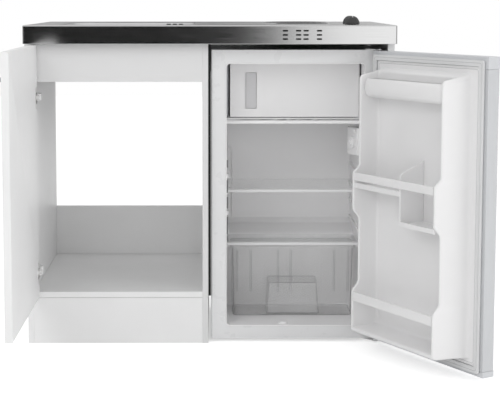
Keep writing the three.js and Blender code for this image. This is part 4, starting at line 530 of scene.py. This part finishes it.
def rounded_block(name, x, y, z, radius, finish, body):
    """A block from its three ranges, with rounded edges."""
    work = bmesh.new()
    bmesh.ops.create_cube(work, size=1)
    size = Vector((x[1] - x[0], y[1] - y[0], z[1] - z[0])) * MM
    bmesh.ops.scale(work, vec=size, verts=work.verts)
    bmesh.ops.bevel(work, geom=work.edges, offset=radius * MM, segments=3, affect="EDGES", profile=0.5)
    centre = Vector((x[0] + x[1], y[0] + y[1], z[0] + z[1])) * MM / 2
    bmesh.ops.translate(work, vec=centre, verts=work.verts)
    mesh = bpy.data.meshes.new(name)
    work.to_mesh(mesh)
    work.free()
    return smooth(place(name, mesh, finish, body), 50)


def hinge_cover(level):
    """The bright cap over a hinge arm, with a dark block at its inner end that is painted shade."""
    low, high = (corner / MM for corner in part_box("hinge_plate_" + level))
    z = (low.z + high.z) / 2
    x0, y0 = low.x + 0.5, low.y + 9
    y1 = y0 + 34
    rounded_block(f"hinge_cover_{level}", (x0, x0 + 24.5), (y0, y1), (z - 9.5, z + 9.5), 2,
                  HINGE_COVER, "carcass")
    # The dark block at the cover's inner end is painted shade.
    rounded_block(f"hinge_end_shade_{level}", (x0, x0 + 22), (y1, y1 + 7), (z - 10.5, z + 8), 1,
                  DARK, "carcass")


for level in ("lower", "upper"):
    hinge_cover(level)

# ---------------------------------------------------------------- refrigerator door


def leaf(s, h, z):
    """A point of the open door from its distance along it, its rise off the inner face and its height."""
    u, v = LEAF_EDGE - s, LEAF_FACE + h
    c, n = math.cos(LEAF_TURN), math.sin(LEAF_TURN)
    return (HINGE_AXIS[0] + u * c - v * n, HINGE_AXIS[1] + u * n + v * c, z)


def stepped(z, table):
    """Linear look-up in [z, value] corners."""
    if z <= table[0][0]:
        return table[0][1]
    for (z0, a), (z1, b) in zip(table, table[1:]):
        if z <= z1:
            return a + (b - a) * (z - z0) / (z1 - z0) if z1 > z0 else b
    return table[-1][1]


# Corners of [height, rise] of the ridge round the door's recess.
RIDGE = [(53, 3), (55.2, 30), (57.4, 80), (58.4, 94), (61, 98.5), (66, 102), (172, 102), (191, 82), (366, 82),
         (387, 102), (490, 102), (503, 82), (738, 82), (745, 74), (751, 40), (758, 10), (762, 3)]


def ridge_height(z):
    """Ridge height softened over a few millimetres, except at the two ends."""
    if z < 80 or z > 728:
        return stepped(z, RIDGE)
    return sum(stepped(z + d, RIDGE) for d in (-6, -4, -2, 0, 2, 4, 6)) / 7


def door_liner():
    """The inner moulding of the door: land, ridge, recess, ridge and land, repeated at each height."""
    levels = [41, 44, 51, 53, 55.2, 56.3, 57.4, 58.4, 59.5, 61, 63.5, 66, 69, 71, 72, 72.5, 73.5]
    levels += [75.5, 79, 84, 92]
    levels += [100, 120, 140, 155] + list(range(164, 202, 3)) + [215, 250, 290, 330, 350]
    levels += list(range(358, 398, 3)) + [410, 430, 450, 470] + list(range(482, 514, 2))
    levels += [530, 560, 600, 640, 680, 710, 725, 733, 738, 741, 745, 748, 751, 755, 758, 762, 764, 772, 779]
    rows = []
    for z in levels:
        top, low = ridge_height(z), LEAF_LAND
        share = (top - low) / 99
        floor = stepped(z, [(69, top), (71, top - 0.6), (72, top - 3), (72.5, 40 if top > 40 else top),
                            (73.5, 29), (75.5, 25), (79, 22.6), (84, 22), (751, 22), (757, 14), (762, 3)])
        floor = min(floor, top)
        section = [(25, 0.0), (25, 2.2), (26, low), (34, low)]
        section += [(41.5, low + min(0.6, share)), (43.6, low + 5 * share), (45, low + 22 * share),
                    (47.5, low + 60 * share), (49.2, low + 90 * share), (50.2, low + 96.5 * share),
                    (51.8, low + 98.7 * share), (53.5, top), (55.2, low + 98.7 * share)]
        wall = top - floor
        section += [(56.6, floor + wall * 0.965), (57.2, floor + wall * 0.9), (57.4, floor + wall * 0.5),
                    (57.8, floor + wall * 0.12), (59.5, floor + wall * 0.045), (63, floor + wall * 0.01),
                    (70, floor)]
        section += [(s, floor) for s in range(90, 371, 20)]
        section += [(377, floor + wall * 0.01), (380.5, floor + wall * 0.045), (382.2, floor + wall * 0.12),
                    (382.6, floor + wall * 0.5), (382.8, floor + wall * 0.9), (383.4, floor + wall * 0.965),
                    (384.8, low + 98.7 * share), (386.5, top), (388.2, low + 98.7 * share),
                    (389.8, low + 96.5 * share), (391, low + 90 * share), (394.5, low + 60 * share),
                    (401, low + 28 * share), (404.4, low + 9 * share), (407.5, low + 2.5 * share),
                    (412, low + 0.3 * share), (420, low), (432, low), (433, 2.2), (433, 0.0)]
        rows.append([leaf(s, h, z) for s, h in section])
    made = skin("door_moulding", rows, DOOR_LINER, "fridge_door", ["fridge_door_liner"],
                closed=False, caps=False)
    return smooth(made, 60)


door_liner()

# ---------------------------------------------------------------- thin mouldings


def bead(name, points, radius, finish, body, closed=False):
    """A thin moulded bead along a line of points."""
    curve = bpy.data.curves.new(name, "CURVE")
    curve.dimensions = "3D"
    curve.bevel_depth = radius * MM
    curve.bevel_resolution = 2
    spline = curve.splines.new("POLY")
    spline.points.add(len(points) - 1)
    for point, spot in zip(spline.points, points):
        point.co = (*(c * MM for c in spot), 1)
    spline.use_cyclic_u = closed
    holder = bpy.data.objects.new(name, curve)
    scene.collection.objects.link(holder)
    bpy.context.view_layer.update()
    mesh = bpy.data.meshes.new_from_object(holder.evaluated_get(bpy.context.evaluated_depsgraph_get()))
    bpy.data.objects.remove(holder)
    return smooth(place(name, mesh, finish, body), 60)


def leaf_ring(inset, rise, radius):
    """A rounded rectangle on the inner side of the refrigerator door, inset from the door's edges."""
    flat = corner_ring(LEAF_WIDTH / 2, LEAF_MIDDLE, LEAF_WIDTH - 2 * inset, LEAF_HEIGHT - 2 * inset,
                       radius, 0, 6)
    return [leaf(s, rise, z) for s, z, _ in flat]


for name, inset, rise, radius, thick, finish in (
    ("gasket_line", 15.5, 6.9, 8, 0.7, SEAM), ("gasket_fold", 24.6, 3.2, 6, 0.8, SEAM),
    ("moulding_step", 29, 2.4, 7, 1.5, TRIM), ("moulding_groove", 31.4, 2.9, 7, 0.5, SEAM),
):
    bead(name, leaf_ring(inset, rise, radius), thick, finish, "fridge_door", True)


def tapered_tub(node, draft, radius, wall, foot, edge, lip):
    """An open tub in the box of a node, with a thin wall and beads along its edges; the beads' lip and edge
    finishes are painted highlight and painted shade lines.

    A positive draft narrows the foot and a negative one the top. Returns the function of its outer rings.
    """
    low, high = (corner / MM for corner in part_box(node))
    cx, cy = (low.x + high.x) / 2, (low.y + high.y) / 2
    width, length = high.x - low.x, high.y - low.y

    def ring(inset, z):
        share = (z - low.z) / (high.z - low.z)
        grow = draft * (1 - share) if draft > 0 else -draft * share
        across = 2 * (inset + grow)
        return corner_ring(cx, cy, width - across, length - across, max(radius - inset - grow * 0.4, 2), z)

    rows = [ring(foot, low.z), ring(foot * 0.3, low.z + foot * 0.3), ring(0, low.z + foot)]
    rows += [ring(0, high.z - 6), ring(-0.4, high.z - 5), ring(-0.4, high.z - 0.6)]
    rows += [ring(0.3, high.z), ring(wall, high.z)]
    rows += [ring(wall, low.z + foot + wall), ring(wall + foot, low.z + wall)]
    skin(node + "_shell", rows, CRYSTAL, BODY_OF[node], [node]).visible_shadow = False
    # The rim, foot and corner beads are painted highlight and painted shade lines on the clear plastic.
    bead(node + "_rim", ring(0, high.z - 0.8), 0.9, lip, BODY_OF[node], True)
    bead(node + "_foot", ring(foot * 0.4, low.z + foot * 0.4), 0.7, edge, BODY_OF[node], True)
    for k, index in enumerate((5, 38)):  # the middle points of the two front corners
        line = [ring(0.2, low.z + foot + (high.z - low.z - foot - 4) * i / 8)[index] for i in range(9)]
        bead(f"{node}_corner_{k}", line, 0.8, edge, BODY_OF[node])
    return ring


def crisper_ribs(ring):
    """The moulded ribs in the back wall of the drawer, drawn as painted highlight lines, and in pairs down
    its front, drawn as painted shade lines.
    """
    low, high = (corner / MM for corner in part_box("crisper_drawer"))
    for k, x in enumerate((172, 209, 242, 274, 340, 372)):
        line = [(x, high.y - 8 + 4 * i / 8, low.z + 60 + (high.z - low.z - 75) * i / 8) for i in range(9)]
        bead(f"crisper_back_rib_{k}", line, 0.7, CRYSTAL_LIP_HIGHLIGHT, "crisper")
    for k, offset in enumerate((-157, -118, -41, -5, 118, 157)):
        middle = (low.x + high.x) / 2 + offset
        for side in (-1, 1):
            line = []
            for i in range(9):
                z = low.z + 70 + (high.z - low.z - 80) * i / 8
                line.append((middle + side * 2, min(p[1] for p in ring(0, z)) - 0.1, z))
            bead(f"crisper_rib_{k}_{side + 1}", line, 0.35, CRYSTAL_EDGE_SHADE, "crisper")


crisper_ribs(tapered_tub("crisper_drawer", 5, 20, 2.2, 6, CRYSTAL_EDGE_SHADE, CRYSTAL_LIP_HIGHLIGHT))
tapered_tub("crisper_insert", -7, 10, 1.8, 3, INSERT_EDGE_SHADE, INSERT_EDGE_SHADE)


def liner_mouldings():
    """A painted highlight line along the edge of the plate on the back wall, and painted shade in the grooves
    between the shelf rungs.
    """
    low, high = (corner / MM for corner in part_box("fridge_liner"))
    x, y = low.x + 22, high.y - 3.5
    line = [(x - 12, y, 506), (x - 5, y, 503), (x - 1.5, y, 497), (x, y, 488), (x, y, 275)]
    # A bead in the lighter white along the plate's edge: a painted highlight line.
    bead("plate_edge_highlight", line, 2.2, LIT_TRAY_WHITE, "carcass")
    # Dark beads in the grooves between the rungs: painted shade.
    for k, (z0, z1) in enumerate(((482, 502), (412, 447), (368, 400), (296, 345))):
        line = [(low.x + 4.6, -238, z0), (low.x + 4.6, -238, z1)]
        bead(f"rung_groove_painted_shade_{k}", line, 1.9, PAINTED_GROOVE_SHADE, "carcass")


liner_mouldings()


def drip_tray_lip():
    """The raised lip of the tray under the freezer flap."""
    low, high = (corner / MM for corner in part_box("drip_tray"))
    bar = [(y, z) for y, z in (
        (low.y, high.z - 8), (low.y, high.z - 1.2), (low.y + 0.5, high.z - 0.5), (low.y + 1.6, high.z - 0.5),
        (low.y + 2.2, high.z - 1.2), (low.y + 2.2, high.z - 8))]
    # The lip is in the lighter copy of the moulded white: painted light.
    skin("drip_tray_lip", [[(x, y, z) for y, z in bar] for x in (low.x + 2, high.x - 2)], LIT_TRAY_WHITE, "carcass", [])


def flap_grip():
    """A sloped sheet in the flap's finger grip, in a greyer white: painted shade in the recess."""
    low, high = (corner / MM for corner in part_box("freezer_flap"))
    x0, x1, z0, z1 = low.x + 43, low.x + 73, low.z + 24, high.z - 26
    front = low.y + 8.2
    outline = [(x, z) for x, z, _ in corner_ring((x0 + x1) / 2, (z0 + z1) / 2, x1 - x0, z1 - z0, 3, 0, 5)]
    sloped = [(x, front - 3.5 * (x - x0) / (x1 - x0), z) for x, z in outline]
    flat = [(x, front + 1, z) for x, z in outline]
    skin("flap_grip_painted_shade", [sloped, flat], GRIP_PAINTED_SHADE, "freezer_flap", [])


drip_tray_lip()
flap_grip()

# ---------------------------------------------------------------- hob


def hotplate(place_name, y, radius):
    """The cast plate with its turned grooves and centre well, and the steel rim that it drops into."""
    top, low, sheet = PLATE_TOP, PLATE_FOOT, WORKTOP[5]
    pitch, half, floor_half, depth = 3.2, 0.8, 0.45, 0.2
    grooves = []
    r = radius - 9
    while r > radius * 0.3:
        grooves += [(r + half, top), (r + floor_half, top - depth), (r - floor_half, top - depth),
                    (r - half, top)]
        r -= pitch
    well = radius * 0.22
    profile = [(0, low + 6), (radius - 14, low + 6), (radius - 12, low), (radius - 4, low),
               (radius - 3, sheet + 0.5), (radius - 0.4, sheet + 1.2), (radius, sheet + 1.4),
               (radius, top - 0.5), (radius - 0.3, top - 0.15), (radius - 1.2, top), *grooves,
               (well + 1, top), (well, top - 0.3), (well - 1.6, top - 1.3), (well - 2.4, top - 1.5),
               (0, top - 1.5)]
    centre = (PLATE_X, y, 0)
    turned("plate_" + place_name, profile, centre, IRON, "carcass", ["hotplate_" + place_name], 128)
    inner, outer = radius + 0.3, radius + 7
    rim = [(inner, sheet), (outer, sheet), (outer - 0.3, sheet + 0.3), (outer - 1.2, sheet + 0.6),
           (radius + 2.6, sheet + 1.1), (radius + 1.6, sheet + 1.2), (radius + 0.7, sheet + 1.1),
           (inner, sheet + 0.9), (inner, sheet)]
    turned("rim_" + place_name, rim, centre, STEEL_TRIM, "carcass", ["hotplate_rim_" + place_name], 128)


def knob(place_name, y):
    """A domed control knob with shallow flutes, and its pointer mark."""
    sides, sharpness = 160, 2.2
    rings = []
    shape = [(0.95, 0, 0), (1.0, 1, 0), (1.0, 4, 0), (0.99, 6, 0.2), (0.95, 8.5, 0.5), (0.9, 11.3, 0.7),
             (0.825, 14, 0.8), (0.74, 16.4, 0.8), (0.625, 18.7, 0.6), (0.49, 20.6, 0.35), (0.35, 22, 0.1),
             (0.17, 22.8, 0)]
    for k, (share, up, depth) in enumerate(shape):
        ring = []
        for i in range(sides):
            a = 2 * math.pi * i / sides
            flute = max(0.0, math.cos(KNOB_FLUTES * (a - math.pi / KNOB_FLUTES))) ** 3 * depth * sharpness
            radius = KNOB_RADIUS * share - flute - (0.6 if k == 0 else 0)
            ring.append((CONTROL_X + radius * math.cos(a), y + radius * math.sin(a), KNOB_FOOT + up))
        rings.append(ring)
    skin("knob_cap_" + place_name, rings, DARK, "knob_" + place_name, ["control_knob_" + place_name])
    work = bmesh.new()
    bmesh.ops.create_cube(work, size=1)
    bmesh.ops.scale(work, vec=Vector((1.6, 11, 0.7)) * MM, verts=work.verts)
    bmesh.ops.bevel(work, geom=work.edges, offset=0.25 * MM, segments=2, affect="EDGES")
    bmesh.ops.rotate(work, cent=(0, 0, 0), matrix=Matrix.Rotation(math.radians(13), 3, "X"), verts=work.verts)
    bmesh.ops.translate(work, vec=Vector((CONTROL_X, y - 10, KNOB_TOP - 2.2)) * MM, verts=work.verts)
    mesh = bpy.data.meshes.new("knob_mark_" + place_name)
    work.to_mesh(mesh)
    work.free()
    place("knob_mark_" + place_name, mesh, TRIM, "knob_" + place_name)


for name, (y, radius) in PLATES.items():
    hotplate(name, y, radius)
for name, y in CONTROLS.items():
    knob(name, y)

# ---------------------------------------------------------------- stage, light and camera


def stage_plane(name, corners, material, camera=True, diffuse=True):
    mesh = bpy.data.meshes.new(name)
    mesh.from_pydata([Vector(c) for c in corners], [], [tuple(range(len(corners)))])
    made = bpy.data.objects.new(name, mesh)
    scene.collection.objects.link(made)
    mesh.materials.append(material)
    made.visible_camera = camera
    made.visible_diffuse = diffuse
    made.visible_shadow = camera
    return made


def graded(name, stops):
    """A light whose strength follows X, from [x in m, strength] stops. Only reflections see it."""
    made = bpy.data.materials.new(name)
    made.use_nodes = True
    tree = made.node_tree
    tree.nodes.clear()
    out = tree.nodes.new("ShaderNodeOutputMaterial")
    shine = tree.nodes.new("ShaderNodeEmission")
    place_node = tree.nodes.new("ShaderNodeTexCoord")
    split = tree.nodes.new("ShaderNodeSeparateXYZ")
    tree.links.new(place_node.outputs["Object"], split.inputs[0])
    span = tree.nodes.new("ShaderNodeMapRange")
    first, last = stops[0][0], stops[-1][0]
    top = max(level for _, level in stops)
    for socket, value in (("From Min", first), ("From Max", last), ("To Min", 0.0), ("To Max", 1.0)):
        span.inputs[socket].default_value = value
    tree.links.new(split.outputs["X"], span.inputs["Value"])
    ramp = tree.nodes.new("ShaderNodeValToRGB")
    while len(ramp.color_ramp.elements) < len(stops):
        ramp.color_ramp.elements.new(0.5)
    for element, (x, level) in zip(ramp.color_ramp.elements, stops):
        element.position = (x - first) / (last - first)
        element.color = (level / top, level / top, level / top, 1)
    tree.links.new(span.outputs["Result"], ramp.inputs["Fac"])
    tree.links.new(ramp.outputs["Color"], shine.inputs["Color"])
    shine.inputs["Strength"].default_value = top
    tree.links.new(shine.outputs[0], out.inputs["Surface"])
    return made


def seen_plainly(tree):
    """1 on camera, glossy and transmission rays, and 0 on the rays that light the object."""
    path = tree.nodes.new("ShaderNodeLightPath")
    result = path.outputs["Is Camera Ray"]
    for kind in ("Is Glossy Ray", "Is Transmission Ray"):
        either = tree.nodes.new("ShaderNodeMath")
        either.operation = "MAXIMUM"
        tree.links.new(result, either.inputs[0])
        tree.links.new(path.outputs[kind], either.inputs[1])
        result = either.outputs[0]
    return result


def floor_material():
    """Pale paint that glows a little for the camera and in reflections, and keeps the shadow."""
    made = Shading("floor_paint", (0.9, 0.9, 0.9), 0.9)
    made.tint(made.noise(400, 2), (0.93, 0.93, 0.93), (0.96, 0.96, 0.96))
    tree = made.tree
    level = tree.nodes.new("ShaderNodeMath")
    level.operation = "MULTIPLY"
    level.inputs[1].default_value = 0.5
    tree.links.new(seen_plainly(tree), level.inputs[0])
    tree.links.new(level.outputs[0], made.shader.inputs["Emission Strength"])
    made.set("Emission Color", (1, 1, 1, 1))
    return made.material


stage_plane("floor", [(-9, -6, 0), (9, -6, 0), (9, 9, 0), (-9, 9, 0)], floor_material())


def card(name, corners, stops):
    """A panel that only mirror-like surfaces pick up: it shades the steel and lights nothing."""
    made = stage_plane(name, corners, graded(name, stops), camera=False, diffuse=False)
    made.visible_transmission = False
    made.visible_shadow = False


card("front_card", [(-4, -3.9, 0.25), (3, -3.9, 0.25), (3, -3.9, 1.2), (-4, -3.9, 1.2)],
     [(-4, 0.0), (-0.05, 0.0), (0.221, 0.019), (0.302, 0.21), (0.384, 0.55), (0.464, 0.8), (0.6, 1.14),
      (0.735, 1.34), (0.98, 1.43), (3, 1.43)])
card("back_card", [(-5, 3, 0.3), (5, 3, 0.3), (5, 3, 2.6), (-5, 3, 2.6)],
     [(-5, 0.36), (-0.8, 0.38), (0.2, 0.26), (0.9, 0.58), (5, 0.66)])
for side, level in ((-1, 0.16), (1, 0.4)):
    x = 3.6 * side
    card(f"side_card_{side + 1}", [(x, -3, 0.4), (x, 0.6, 0.4), (x, 0.6, 1.3), (x, -3, 1.3)],
         [(x - 0.1, level), (x + 0.1, level)])


def studio_world():
    """A white surround to look at, which lights the object at a lower level."""
    world = bpy.data.worlds.new("studio")
    scene.world = world
    world.use_nodes = True
    tree = world.node_tree
    background = tree.nodes["Background"]
    level = tree.nodes.new("ShaderNodeMapRange")
    level.inputs["To Min"].default_value = 0.61
    level.inputs["To Max"].default_value = 1.0
    tree.links.new(seen_plainly(tree), level.inputs["Value"])
    tree.links.new(level.outputs["Result"], background.inputs["Strength"])
    background.inputs["Color"].default_value = (1, 1, 1, 1)


def lamp(name, spot, aim, size, watts):
    data = bpy.data.lights.new(name, "AREA")
    data.shape = "RECTANGLE"
    data.size, data.size_y = size
    data.energy = watts
    made = bpy.data.objects.new(name, data)
    scene.collection.objects.link(made)
    made.location = spot
    made.rotation_euler = (Vector(aim) - Vector(spot)).to_track_quat("-Z", "Y").to_euler()
    made.visible_glossy = False


studio_world()
lamp("key", (-1.8, -3.4, 2.8), (0, 0, 0.5), (2.2, 2.0), 29)
lamp("fill", (3.4, -2.2, 1.5), (-0.3, 0, 0.45), (2.4, 2.4), 34)
lamp("top", (0, 0.2, 3.2), (0, 0, 0.8), (2.6, 2.2), 16)
lamp("front", (0.2, -4.0, 1.1), (0.2, 0, 0.45), (1.8, 1.4), 9)


def photo_camera():
    """The photograph's view: its lens in pixels of a 500 wide frame, its shift, place and tilt."""
    frame_width, focal_pixels = 500, 1318.54
    eye = bpy.data.cameras.new("camera")
    eye.sensor_width = 36
    eye.lens = focal_pixels / frame_width * eye.sensor_width
    eye.shift_x, eye.shift_y = 0.0615, -0.14
    made = bpy.data.objects.new("camera", eye)
    scene.collection.objects.link(made)
    made.location = (0.02183, -3.83498, 0.94161)
    made.rotation_euler = (math.pi / 2 - 0.0987, 0, -0.0045)
    scene.camera = made


photo_camera()
scene.view_settings.view_transform = "Standard"
